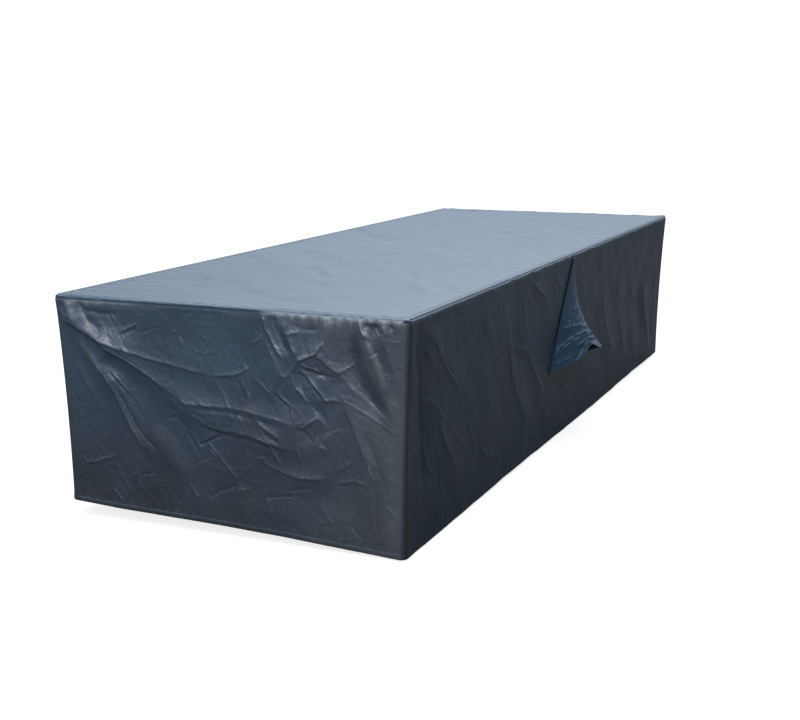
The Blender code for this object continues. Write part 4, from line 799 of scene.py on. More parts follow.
def wall(panel, a):
    """Plan points and outward normals of a panel at arc lengths a from its middle."""
    tx, ty = panel["along"]
    nx, ny = panel["out"]
    flat = panel["half"] - CORNER_RADIUS
    turn = np.maximum(0.0, np.abs(a) - flat) / CORNER_RADIUS
    side = np.where(a > 0, 1.0, -1.0)
    c, s = np.cos(turn), np.sin(turn) * side
    run = np.clip(a, -flat, flat)
    out_x, out_y = nx * c + tx * s, ny * c + ty * s
    x = nx * (panel["distance"] - CORNER_RADIUS) + tx * run + out_x * CORNER_RADIUS
    y = ny * (panel["distance"] - CORNER_RADIUS) + ty * run + out_y * CORNER_RADIUS
    return x, y, out_x, out_y


def vent_quiet(a, z):
    reach = VENT_HALF_TOP + (VENT_HALF_FOOT - VENT_HALF_TOP) * np.clip((VENT_TOP - z) / VENT_DROP, 0, 1)
    beside = smooth((reach + 0.060 - np.abs(a - VENT_Y)) / 0.045)
    under = smooth((z - (VENT_TOP - VENT_DROP - 0.055)) / 0.040)
    return beside * under


def pucker_height(rows, a, z, flat):
    """The gathers at the seam, strongest a few millimetres under it."""
    down = np.maximum(0.0, -z)
    total = np.zeros_like(a)
    for row in rows:
        p = dict(zip(PUCKER_COLUMNS, row))
        shape = np.exp(-(((a - p["a"]) / p["width"]) ** 2))
        total += p["height"] / 1000 * shape * smooth(down / 0.005) * np.exp(-((down * 1000 / p["reach"]) ** 1.5))
    return total * smooth((flat - np.abs(a)) / 0.010)


def spill_share(x):
    """How far the near end's edge is rounded over by its gathers, 0 to 1."""
    total = np.zeros_like(x)
    for row in SPILLS:
        spill = dict(zip(SPILL_COLUMNS, row))
        total = np.maximum(total, spill["share"] * np.exp(-(((x - spill["x"]) / spill["width"]) ** 2)))
    return total


def haze_share(x):
    """How far the gathers under the near end's seam take a painted highlight, and how far they hide the seam itself."""
    left = smooth((x + 0.356) / 0.010) * smooth((-0.150 - x) / 0.060)
    right = smooth((x - 0.070) / 0.040) * smooth((0.372 - x) / 0.008)
    return np.maximum(left, right), right


def spill_out(z):
    """How far the rounded edge stands out, down to where it has become the panel."""
    reach, drop = SPILL
    round_part = reach * np.sqrt(np.clip(1.0 - ((z + drop) / drop) ** 2, 0, 1)) - 0.75 * reach
    return np.where(z > -drop, round_part, 0.25 * reach * np.exp(-(((z + drop) / 0.018) ** 2)))


def panel_offset(panel, a, z):
    """How far the cloth stands out from its plan line: the CAD's folds and the finer creases."""
    flat = panel["half"] - CORNER_RADIUS
    down = -z - LIP_DEPTH
    hang = -DRAW_IN * np.sin(np.pi * np.clip(down / 0.40, 0, 1)) ** 0.8
    calm = smooth(down / 0.030) * smooth((flat - np.abs(a)) / 0.030)
    fine = smooth(down / 0.008 + 0.2) * smooth((flat - np.abs(a)) / 0.012)
    scales = RELIEF[panel["name"]]
    level = table_z(panel["name"], a, z)
    detail = scales["creases"] * crease_height(panel["creases"] + panel["small"], a, level)
    if panel["facets"]:
        detail = detail + scales["facets"] * facet_height(panel["facets"], a, level, panel["half"])
    for spacing, tall in scales["random"]:
        rows = random_facets(spacing, tall, panel["half"], 0.43, int(10 * panel["phase"]) + int(1000 * spacing))
        detail = detail + soften(facet_height(rows, a, z, panel["half"]), 1)
    detail = detail + slack(a, z, panel["phase"])
    puckers = pucker_height(panel["puckers"], a, z, flat)
    if panel["name"] == "front_panel":
        puckers = puckers + spill_share(a) * spill_out(z) / 0.6
    if panel["vent"]:
        quiet = vent_quiet(a, z)
        calm, fine = calm * (1 - quiet), fine * (1 - quiet)
    return hang + scales["folds"] * calm * fold_height(panel["folds"], a, z) + fine * detail + 0.6 * puckers


def panel_of(name):
    panel = dict(zip(PANEL_COLUMNS, PANELS[name]))
    panel["name"] = name
    panel["small"] = small_creases(RELIEF[name]["small"], 7 + int(10 * panel["phase"]))
    panel["vent"] = name == "side_panel_right"
    return panel


# ---------------------------------------------------------------- materials
def ramp(tree, source, stops):
    node = tree.nodes.new("ShaderNodeValToRGB")
    while len(node.color_ramp.elements) < len(stops):
        node.color_ramp.elements.new(0.5)
    for element, (place, colour) in zip(node.color_ramp.elements, stops):
        element.position = place
        element.color = colour
    tree.links.new(source, node.inputs["Fac"])
    return node.outputs["Color"]


def noise(tree, vector, scale, detail=2.0, rough=0.5, distortion=0.0):
    node = tree.nodes.new("ShaderNodeTexNoise")
    node.inputs["Scale"].default_value = scale
    node.inputs["Detail"].default_value = detail
    node.inputs["Roughness"].default_value = rough
    node.inputs["Distortion"].default_value = distortion
    tree.links.new(vector, node.inputs["Vector"])
    return node.outputs["Fac"]


def math_node(tree, operation, one, two=None, three=None):
    node = tree.nodes.new("ShaderNodeMath")
    node.operation = operation
    for socket, value in zip(node.inputs, (one, two, three)):
        if value is None:
            continue
        if isinstance(value, (int, float)):
            socket.default_value = value
        else:
            tree.links.new(value, socket)
    return node.outputs[0]


def scaled(tree, vector, factors):
    node = tree.nodes.new("ShaderNodeMapping")
    node.inputs["Scale"].default_value = factors
    tree.links.new(vector, node.inputs["Vector"])
    return node.outputs["Vector"]


def drawn_out(tree, vector, lean, factors):
    """The cloth's own coordinates, turned so that the folds' lean is along x, then scaled."""
    turn = tree.nodes.new("ShaderNodeMapping")
    turn.inputs["Rotation"].default_value = (0.0, 0.0, math.radians(-lean))
    tree.links.new(vector, turn.inputs["Vector"])
    return scaled(tree, turn.outputs["Vector"], factors)


def ridges(tree, vector, detail, distortion):
    """Sharp meandering lines: how far a noise is from its middle."""
    field = noise(tree, vector, 1.0, detail, 0.55, distortion)
    return math_node(tree, "ABSOLUTE", math_node(tree, "SUBTRACT", field, 0.5))


def mix(tree, factor, one, two):
    node = tree.nodes.new("ShaderNodeMix")
    node.data_type = "RGBA"
    for socket, value in ((node.inputs[0], factor), (node.inputs[6], one), (node.inputs[7], two)):
        if isinstance(value, (int, float, tuple)):
            socket.default_value = value
        else:
            tree.links.new(value, socket)
    return node.outputs[2]


SKIRT_TONES = ((0.0145, 0.0245, 0.0410, 1.0), (0.0260, 0.0425, 0.0690, 1.0))


def cloth_material(name, dark, light, roughness, specular, sheen, skirt=False, lip=False, crumple=1.0, crest=(0.42, (0.115, 0.140, 0.170, 1.0))):
    """Coated polyester: slub streaks along the weave, soft blotches, fine weave bump, stitched hem."""
    material = bpy.data.materials.new(name)
    material.use_nodes = True
    tree = material.node_tree
    shader = tree.nodes["Principled BSDF"]
    place = tree.nodes.new("ShaderNodeTexCoord")
    uv, solid = place.outputs["UV"], place.outputs["Object"]
    blotch = noise(tree, solid, 5.0, 4.0, 0.55, 0.3)
    streak = noise(tree, scaled(tree, uv, (26.0, 620.0, 1.0)), 1.0, 3.0, 0.6)
    thread = noise(tree, scaled(tree, uv, (700.0, 40.0, 1.0)), 1.0, 2.0, 0.5)
    tone = math_node(tree, "MULTIPLY_ADD", streak, 0.30, math_node(tree, "MULTIPLY", thread, 0.16))
    tone = math_node(tree, "MULTIPLY_ADD", blotch, 0.54, tone)
    colour = ramp(tree, tone, ((0.30, dark), (0.72, light)))
    if lip:   # the top is painted bluer and darker towards its near left, as painted shade; its turned edge has the skirt's tone
        across = tree.nodes.new("ShaderNodeSeparateXYZ")
        tree.links.new(solid, across.inputs[0])
        left = math_node(tree, "MULTIPLY_ADD", across.outputs[0], -1.1, math_node(tree, "MULTIPLY_ADD", across.outputs[1], -0.5, -0.10))
        left = math_node(tree, "MINIMUM", math_node(tree, "MAXIMUM", left, 0.0), 0.9)
        colour = mix(tree, left, colour, ramp(tree, tone, ((0.30, (0.0105, 0.0270, 0.0520, 1.0)), (0.72, (0.0175, 0.0400, 0.0760, 1.0)))))
        edge = tree.nodes.new("ShaderNodeAttribute")
        edge.attribute_name = "lip"
        colour = mix(tree, edge.outputs["Fac"], colour, ramp(tree, tone, ((0.30, SKIRT_TONES[0]), (0.72, SKIRT_TONES[1]))))
    if skirt:
        # painted warm light: towards one corner of the near end the cloth turns a warmer grey; painted shade: towards
        # the hem it is darker
        where = tree.nodes.new("ShaderNodeSeparateXYZ")
        tree.links.new(solid, where.inputs[0])
        near_end = math_node(tree, "LESS_THAN", where.outputs[1], -1.0)
        patchy = noise(tree, scaled(tree, solid, (9.0, 9.0, 3.5)), 1.0, 3.0, 0.6, 0.4)
        share = math_node(tree, "MULTIPLY_ADD", where.outputs[0], 3.0, math_node(tree, "MULTIPLY_ADD", patchy, 1.6, -0.92))
        share = math_node(tree, "MULTIPLY", math_node(tree, "MINIMUM", math_node(tree, "MAXIMUM", share, 0.0), 1.0), near_end)
        warm_light_grey = ramp(tree, tone, ((0.30, (0.0310, 0.0352, 0.0412, 1.0)), (0.72, (0.0525, 0.0580, 0.0668, 1.0))))
        low = math_node(tree, "MULTIPLY_ADD", where.outputs[2], -3.6, math_node(tree, "MULTIPLY_ADD", patchy, 1.0, -0.98))
        low = math_node(tree, "MULTIPLY", math_node(tree, "MINIMUM", math_node(tree, "MAXIMUM", low, 0.0), 1.0), near_end)
        dim = ramp(tree, tone, ((0.30, (0.0122, 0.0150, 0.0198, 1.0)), (0.72, (0.0216, 0.0258, 0.0328, 1.0))))
        colour = mix(tree, math_node(tree, "MULTIPLY", low, 0.95), colour, dim)
        colour = mix(tree, math_node(tree, "MULTIPLY", share, 0.80), colour, warm_light_grey)
    if skirt or lip:
        # the gathers under the seam take a painted highlight, in streaks
        rub = tree.nodes.new("ShaderNodeAttribute")
        rub.attribute_name = "rubbed"
        streaks = noise(tree, scaled(tree, uv, (260.0, 26.0, 1.0)), 1.0, 3.0, 0.6, 0.3)
        pale = math_node(tree, "MULTIPLY", rub.outputs["Fac"], math_node(tree, "MULTIPLY_ADD", streaks, 3.0, -0.55))
        pale = math_node(tree, "MINIMUM", math_node(tree, "MAXIMUM", pale, 0.0), 1.0)
        colour = mix(tree, math_node(tree, "MULTIPLY", pale, 0.84), colour, (0.155, 0.172, 0.198, 1.0))
    # painted light and shade in places, then the thin lines of the creases and seams: painted highlight on crests,
    # painted shade in troughs
    for attribute, share, tint in (("faded", 0.60, (0.092, 0.094, 0.102, 1.0)), ("shaded", 0.62, (0.0080, 0.0135, 0.0215, 1.0)), ("trough", 0.72, (0.0065, 0.0105, 0.0170, 1.0)), ("crest",) + crest):
        light_and_shade_paint = tree.nodes.new("ShaderNodeAttribute")
        light_and_shade_paint.attribute_name = attribute
        colour = mix(tree, math_node(tree, "MULTIPLY", light_and_shade_paint.outputs["Fac"], share), colour, tint)
    # stitches: dashes 2.6 mm long every 3.6 mm, on the lines that the stitch attribute marks
    marks = tree.nodes.new("ShaderNodeAttribute")
    marks.attribute_name = "stitch"
    line = marks.outputs["Fac"]
    split = tree.nodes.new("ShaderNodeSeparateXYZ")
    tree.links.new(uv, split.inputs[0])
    dash = math_node(tree, "FRACT", math_node(tree, "MULTIPLY", split.outputs[0], 1 / 0.0036))
    dash = math_node(tree, "LESS_THAN", dash, 0.72)
    stitch = math_node(tree, "MULTIPLY", line, dash)
    colour = mix(tree, math_node(tree, "MULTIPLY", stitch, 0.55), colour, tuple(min(1.0, 1.9 * c) for c in light[:3]) + (1.0,))
    tree.links.new(colour, shader.inputs["Base Color"])
    rough = math_node(tree, "MULTIPLY_ADD", blotch, 0.14, roughness - 0.07)
    rough = math_node(tree, "MULTIPLY_ADD", streak, 0.10, math_node(tree, "SUBTRACT", rough, 0.05))
    if lip:
        rough = math_node(tree, "MULTIPLY_ADD", edge.outputs["Fac"], 0.42, rough)
    tree.links.new(rough, shader.inputs["Roughness"])
    shader.inputs["Specular IOR Level"].default_value = specular
    shader.inputs["Sheen Weight"].default_value = sheen
    shader.inputs["Sheen Roughness"].default_value = 0.45
    shader.inputs["Sheen Tint"].default_value = (0.62, 0.76, 1.0, 1.0)
    # plain weave: two crossed wave bands, about 0.8 mm apart
    heights = []
    for axis in ("X", "Y"):
        wave = tree.nodes.new("ShaderNodeTexWave")
        wave.bands_direction = axis
        wave.inputs["Scale"].default_value = 190.0
        wave.inputs["Distortion"].default_value = 0.6
        wave.inputs["Detail Scale"].default_value = 0.6
        tree.links.new(uv, wave.inputs["Vector"])
        heights.append(wave.outputs["Fac"])
    weave = math_node(tree, "MULTIPLY", heights[0], heights[1])
    crinkle = noise(tree, solid, 34.0, 6.0, 0.66, 1.1)
    height = math_node(tree, "MULTIPLY_ADD", crinkle, 0.00065, math_node(tree, "MULTIPLY", weave, 0.00006))
    height = math_node(tree, "MULTIPLY_ADD", streak, 0.00014, height)
    patches = math_node(tree, "MULTIPLY_ADD", noise(tree, scaled(tree, uv, (7.0, 9.0, 1.0)), 1.0, 2.0, 0.5, 0.4), 2.4, -0.60)
    patches = math_node(tree, "MINIMUM", math_node(tree, "MAXIMUM", patches, 0.15), 1.0)
    long_lines = ridges(tree, drawn_out(tree, uv, -60.0, (11.0, 34.0, 1.0)), 1.5, 0.5)
    fine_lines = ridges(tree, drawn_out(tree, uv, -50.0, (34.0, 85.0, 1.0)), 1.0, 0.8)
    cross_lines = ridges(tree, drawn_out(tree, uv, 28.0, (16.0, 60.0, 1.0)), 1.0, 0.6)
    lines = math_node(tree, "MULTIPLY_ADD", long_lines, -0.0034 * crumple, math_node(tree, "MULTIPLY", fine_lines, -0.0012 * crumple))
    lines = math_node(tree, "MULTIPLY_ADD", cross_lines, 0.0013 * crumple, lines)
    height = math_node(tree, "MULTIPLY_ADD", lines, patches, height)
    height = math_node(tree, "MULTIPLY_ADD", stitch, 0.00035, height)
    bump = tree.nodes.new("ShaderNodeBump")
    bump.inputs["Distance"].default_value = 1.0
    bump.inputs["Strength"].default_value = 1.0
    tree.links.new(height, bump.inputs["Height"])
    tree.links.new(bump.outputs["Normal"], shader.inputs["Normal"])
    return material


MATERIALS = {
    "skirt": cloth_material("skirt_cloth", *SKIRT_TONES, 0.38, 0.50, 0.04, skirt=True),
    "top": cloth_material("top_cloth", (0.0205, 0.0345, 0.0565, 1.0), (0.0310, 0.0500, 0.0795, 1.0), 0.42, 0.50, 0.06, lip=True, crumple=0.35),
    "hood": cloth_material("hood_cloth", (0.0290, 0.0590, 0.1000, 1.0), (0.0520, 0.0990, 0.1660, 1.0), 0.38, 0.45, 0.04, crumple=0.5, crest=(0.62, (0.240, 0.320, 0.420, 1.0))),
}


# ---------------------------------------------------------------- the pieces
def sheet_object(name, points, quads, uvs, stitches, material):
    mesh = bpy.data.meshes.new(name)
    mesh.from_pydata(points.tolist(), [], quads)
    layer = mesh.uv_layers.new(name="cloth")
    loops = np.empty(len(mesh.loops), np.int32)
    mesh.loops.foreach_get("vertex_index", loops)
    layer.data.foreach_set("uv", np.asarray(uvs, np.float32)[loops].ravel())
    marks = mesh.attributes.new("stitch", "FLOAT", "POINT")
    marks.data.foreach_set("value", np.asarray(stitches, np.float32))
    mesh.shade_smooth()
    mesh.materials.append(material)
    mesh.update()
    obj = bpy.data.objects.new(name, mesh)
    bpy.context.scene.collection.objects.link(obj)
    return obj


def mark(piece, **fields):
    """Point attributes that the cloth's materials read, 0 to 1."""
    for name, values in fields.items():
        layer = piece.data.attributes.new(name, "FLOAT", "POINT")
        layer.data.foreach_set("value", np.clip(values, 0, 1).astype(np.float32).ravel())


def grid_quads(rows, columns):
    index = np.arange(rows * columns).reshape(rows, columns)
    return np.stack([index[:-1, :-1], index[1:, :-1], index[1:, 1:], index[:-1, 1:]], -1).reshape(-1, 4).tolist()


def grid_triangles(relief, a, z):
    """Two triangles to a cell, split along the diagonal that changes height least, so that crests stay whole,
    unless that leaves a sliver."""
    rows, columns = relief.shape
    index = np.arange(rows * columns).reshape(rows, columns)
    p, q, r, t = index[:-1, :-1], index[1:, :-1], index[1:, 1:], index[:-1, 1:]
    flat_a, flat_z = a.ravel(), z.ravel()

    def area(i, j, k):
        return 0.5 * np.abs(
            (flat_a[j] - flat_a[i]) * (flat_z[k] - flat_z[i]) - (flat_a[k] - flat_a[i]) * (flat_z[j] - flat_z[i])
        )

    least_one = np.minimum(area(p, q, r), area(p, r, t))
    least_two = np.minimum(area(p, q, t), area(q, r, t))
    falls = np.abs(relief[:-1, :-1] - relief[1:, 1:]) <= np.abs(relief[1:, :-1] - relief[:-1, 1:])
    falls = np.where(least_one < 0.35 * least_two, False, np.where(least_two < 0.35 * least_one, True, falls))
    one = np.where(falls[..., None], np.stack([p, q, r], -1), np.stack([p, q, t], -1))
    two = np.where(falls[..., None], np.stack([p, r, t], -1), np.stack([q, r, t], -1))
    return np.concatenate([one.reshape(-1, 3), two.reshape(-1, 3)]).tolist()


def make_panel(name):
    """An end or side panel, from under the top's seam to its turned hem."""
    panel = panel_of(name)
    flat = panel["half"] - CORNER_RADIUS
    ends_over = name in ("front_panel", "back_panel")   # their edges lap over the sides' at the corners
    end = flat + CORNER_RADIUS * math.pi / 4 + (0.0012 if ends_over else 0.0004)
    run = np.linspace(-flat, flat, panel["columns"] + 1)
    if name == "side_panel_right":   # finer towards the near end
        share = np.linspace(0, 1, panel["columns"] + 1)
        run = -flat + 2 * flat * (0.55 * share + 0.45 * share ** 2)
    turns = np.linspace(flat, end, CORNER_STEPS + 1)[1:]
    stations = np.concatenate([-turns[::-1], run, turns])
    part = np.linspace(0, 1, panel["rows"] + 1)
    share = part - (0.08 if name == "front_panel" else 0.30) * np.sin(2 * np.pi * part) / (2 * np.pi)
    x, y, out_x, out_y = wall(panel, stations)
    top, hem = SEAM_Z, hem_z(x, y)
    z = top + (hem - top)[None, :] * share[:, None]
    a = np.broadcast_to(stations, z.shape).copy()
    inside = (np.abs(a) < flat - 0.004) & (z < top - 0.003) & (z > hem[None, :] + 0.010)
    cell = 2 * flat / panel["columns"]
    level = table_z(name, a, z)
    snapped_a, snapped_z = snap_to_creases(panel["creases"] + panel["small"], a, level, cell, inside)
    z = z + (snapped_z - level) * np.where(level < -0.001, z / np.minimum(level, -0.001), 1.0)
    a = snapped_a
    x, y, out_x, out_y = wall(panel, a)
    out = panel_offset(panel, a, z)
    over_hem = z - hem[None, :]
    # the hem's doubled band, its stitched line, and the line of the seam allowance near the top
    out += 0.0004 * smooth((HEM_STITCH + 0.001 - over_hem) / 0.003)
    out -= 0.0004 * np.exp(-(((over_hem - HEM_STITCH) / 0.0016) ** 2))
    pull = 0.5 + 0.5 * np.sin(a * 2 * np.pi / 0.021 + 1.1 * np.sin(a * 71.0))
    out += 0.0007 * pull * np.exp(-(((over_hem - 0.007) / 0.006) ** 2))
    drift = SIDE_STITCH - 0.004 * np.sin(2.2 * a + 0.6)
    seam_line = np.zeros_like(z)
    if "side" in name:
        seam_line = np.exp(-(((-z - drift) / 0.0016) ** 2))
        out -= 0.0004 * seam_line
    # the upper edge goes in behind the top's turned edge, and a side's ends behind the end panels
    out -= 0.0005 * smooth((z - LIP_END + 0.0004) / 0.0008)
    if not ends_over:
        out -= 0.0006 * smooth((np.abs(a) - end + 0.0030) / 0.0014)
    px, py = x + out_x * out, y + out_y * out
    rings = [np.stack([px, py, z], -1)]
    vs = [over_hem]
    # round the edge and up inside
    bottom_x, bottom_y = px[-1], py[-1]
    out_x, out_y = out_x[-1], out_y[-1]
    for inside, lift in ((0.0004, -0.0007), (0.0011, -0.0010), (0.0019, -0.0006), (0.0023, 0.0006), (0.0024, 0.0060), (0.0026, 0.0120), (0.0024, HEM_TURN)):
        ring = np.stack([bottom_x - out_x * inside, bottom_y - out_y * inside, hem + lift], -1)
        rings.append(ring[None])
        vs.append(np.full((1, len(stations)), -lift))
    points = leaning(np.concatenate(rings, 0))
    over = np.concatenate(vs, 0)
    rows, columns = over.shape
    uv_a = np.broadcast_to(stations, over.shape).copy()
    uv_a[: panel["rows"] + 1] = a
    stitch = np.exp(-(((over - HEM_STITCH) / 0.0011) ** 2))
    stitch[: panel["rows"] + 1] += 0.8 * np.exp(-(((-z - drift) / 0.0012) ** 2)) * ("side" in name)
    uvs = np.stack([uv_a, over], -1).reshape(-1, 2)
    # a painted highlight on the gathers under the near end's seam
    rubbed = np.zeros(over.shape)
    if name == "front_panel":
        haze, hidden = haze_share(a)
        pleats = np.clip(0.75 + pucker_height(panel["puckers"], a, np.full(a.shape, -0.0075), flat) / 0.0032, 0.12, 1.25)
        haze = haze * pleats * (0.45 + 0.55 * spill_share(a))
        rubbed[: panel["rows"] + 1] = haze * np.exp(-((np.maximum(0.0, -z - 0.005) / (EDGE_HIGHLIGHT_REACH * (0.75 + 0.4 * hidden) * (1 - 0.55 * smooth((a - 0.262) / 0.030)))) ** 1.3))
    relief = np.zeros(over.shape)
    relief[: panel["rows"] + 1] = out
    sheet = sheet_object(name + "_cloth", points.reshape(-1, 3), grid_triangles(relief, uv_a, over), uvs, np.clip(stitch, 0, 1).ravel(), MATERIALS["skirt"])
    # painted highlight and shade along the creases, then painted light and shade from the tables
    crest, trough, light_and_shade_paint = np.zeros(over.shape), np.zeros(over.shape), np.zeros(over.shape)
    level = table_z(name, a, z)
    lines = crease_marks(panel["creases"] + panel["small"], a, level)
    quiet = 1 - vent_quiet(a, z) if panel["vent"] else 1.0
    crest[: panel["rows"] + 1], trough[: panel["rows"] + 1] = lines[0] * quiet, lines[1] * quiet
    light_and_shade_paint[: panel["rows"] + 1] = 1000 * crease_height(PAINTED_LIGHT_AND_SHADE[name], a, level)
    mark(sheet, rubbed=rubbed, crest=crest, trough=trough, faded=light_and_shade_paint, shaded=-light_and_shade_paint)
    return sheet


TOP_CELLS = (236, 250)
EDGE_COLUMNS = ("side_inset", "side_z", "end_inset", "end_z")   # mm in from the edge, mm over the sheet
EDGE = (  # the long sides have a stitched ditch and a rolled seam; the ends only fold over
    (12.5, 0.3, 12.5, 0.0), (9.0, 0.8, 11.0, 0.0), (6.0, 1.1, 9.4, 0.0), (4.3, 0.9, 7.8, 0.0),
    (3.8, -0.9, 6.3, 0.0), (3.3, -2.0, 5.0, -0.1), (2.8, -2.8, 3.9, -0.2), (2.3, -3.1, 2.9, -0.4),
    (1.9, -3.2, 2.1, -0.7), (1.5, -3.4, 1.4, -1.1), (1.1, -3.8, 0.9, -1.6), (0.8, -4.4, 0.5, -2.3),
    (0.5, -5.1, 0.2, -3.2), (0.7, -5.8, 0.1, -4.3), (1.1, -6.5, 0.0, -5.7), (1.2, -7.2, 0.0, -7.2),
)
DITCH = (0.0, 0.0, 0.1, 0.6, 1.0, 1.0, 1.0, 1.0, 0.6, 0.3, 0.2, 0.3, 0.7, 1.0, 1.0, 1.0)   # how much painted shade each ring takes on the long sides
ROLL = (0.0, 0.0, 0.0, 0.0, 0.0, 0.0, 0.0, 0.0, 0.5, 0.8, 0.6, 0.1, 0.0, 0.0, 0.0, 0.0)    # and how much painted highlight
SEAM_Z = -0.0040         # the panels' upper edges, tucked behind the top's turned edge
LIP_END = -0.0062        # where the top's turned edge ends
SPILL = (0.007, 0.009)   # where the edge is gathered it rounds over this far in and down
EDGE_HIGHLIGHT_REACH = 0.0115       # and its gathers take a painted highlight this far down
SPILL_COLUMNS = ("x", "width", "share")
SPILLS = (
    (-0.362, 0.010, 0.75), (-0.330, 0.020, 0.95), (-0.300, 0.014, 0.80), (-0.270, 0.016, 0.85), (-0.240, 0.016, 0.70), (-0.212, 0.012, 0.50),
    (-0.180, 0.008, 0.25), (-0.134, 0.005, 0.40), (-0.095, 0.006, 0.15), (0.000, 0.010, 0.12), (0.086, 0.006, 0.45), (0.104, 0.012, 0.40), (0.124, 0.012, 0.60),
    (0.148, 0.010, 0.70), (0.168, 0.010, 0.90), (0.190, 0.010, 0.55), (0.214, 0.014, 0.90), (0.240, 0.010, 0.60), (0.262, 0.010, 0.70),
    (0.281, 0.008, 0.95), (0.300, 0.006, 0.60), (0.325, 0.008, 0.70), (0.350, 0.010, 0.55),
)
SEAM_NUBS = ((-0.362, 0.011, 0.0026), (-0.032, 0.010, 0.0030), (0.480, 0.012, 0.0012))  # y, half width, height, on the vent side


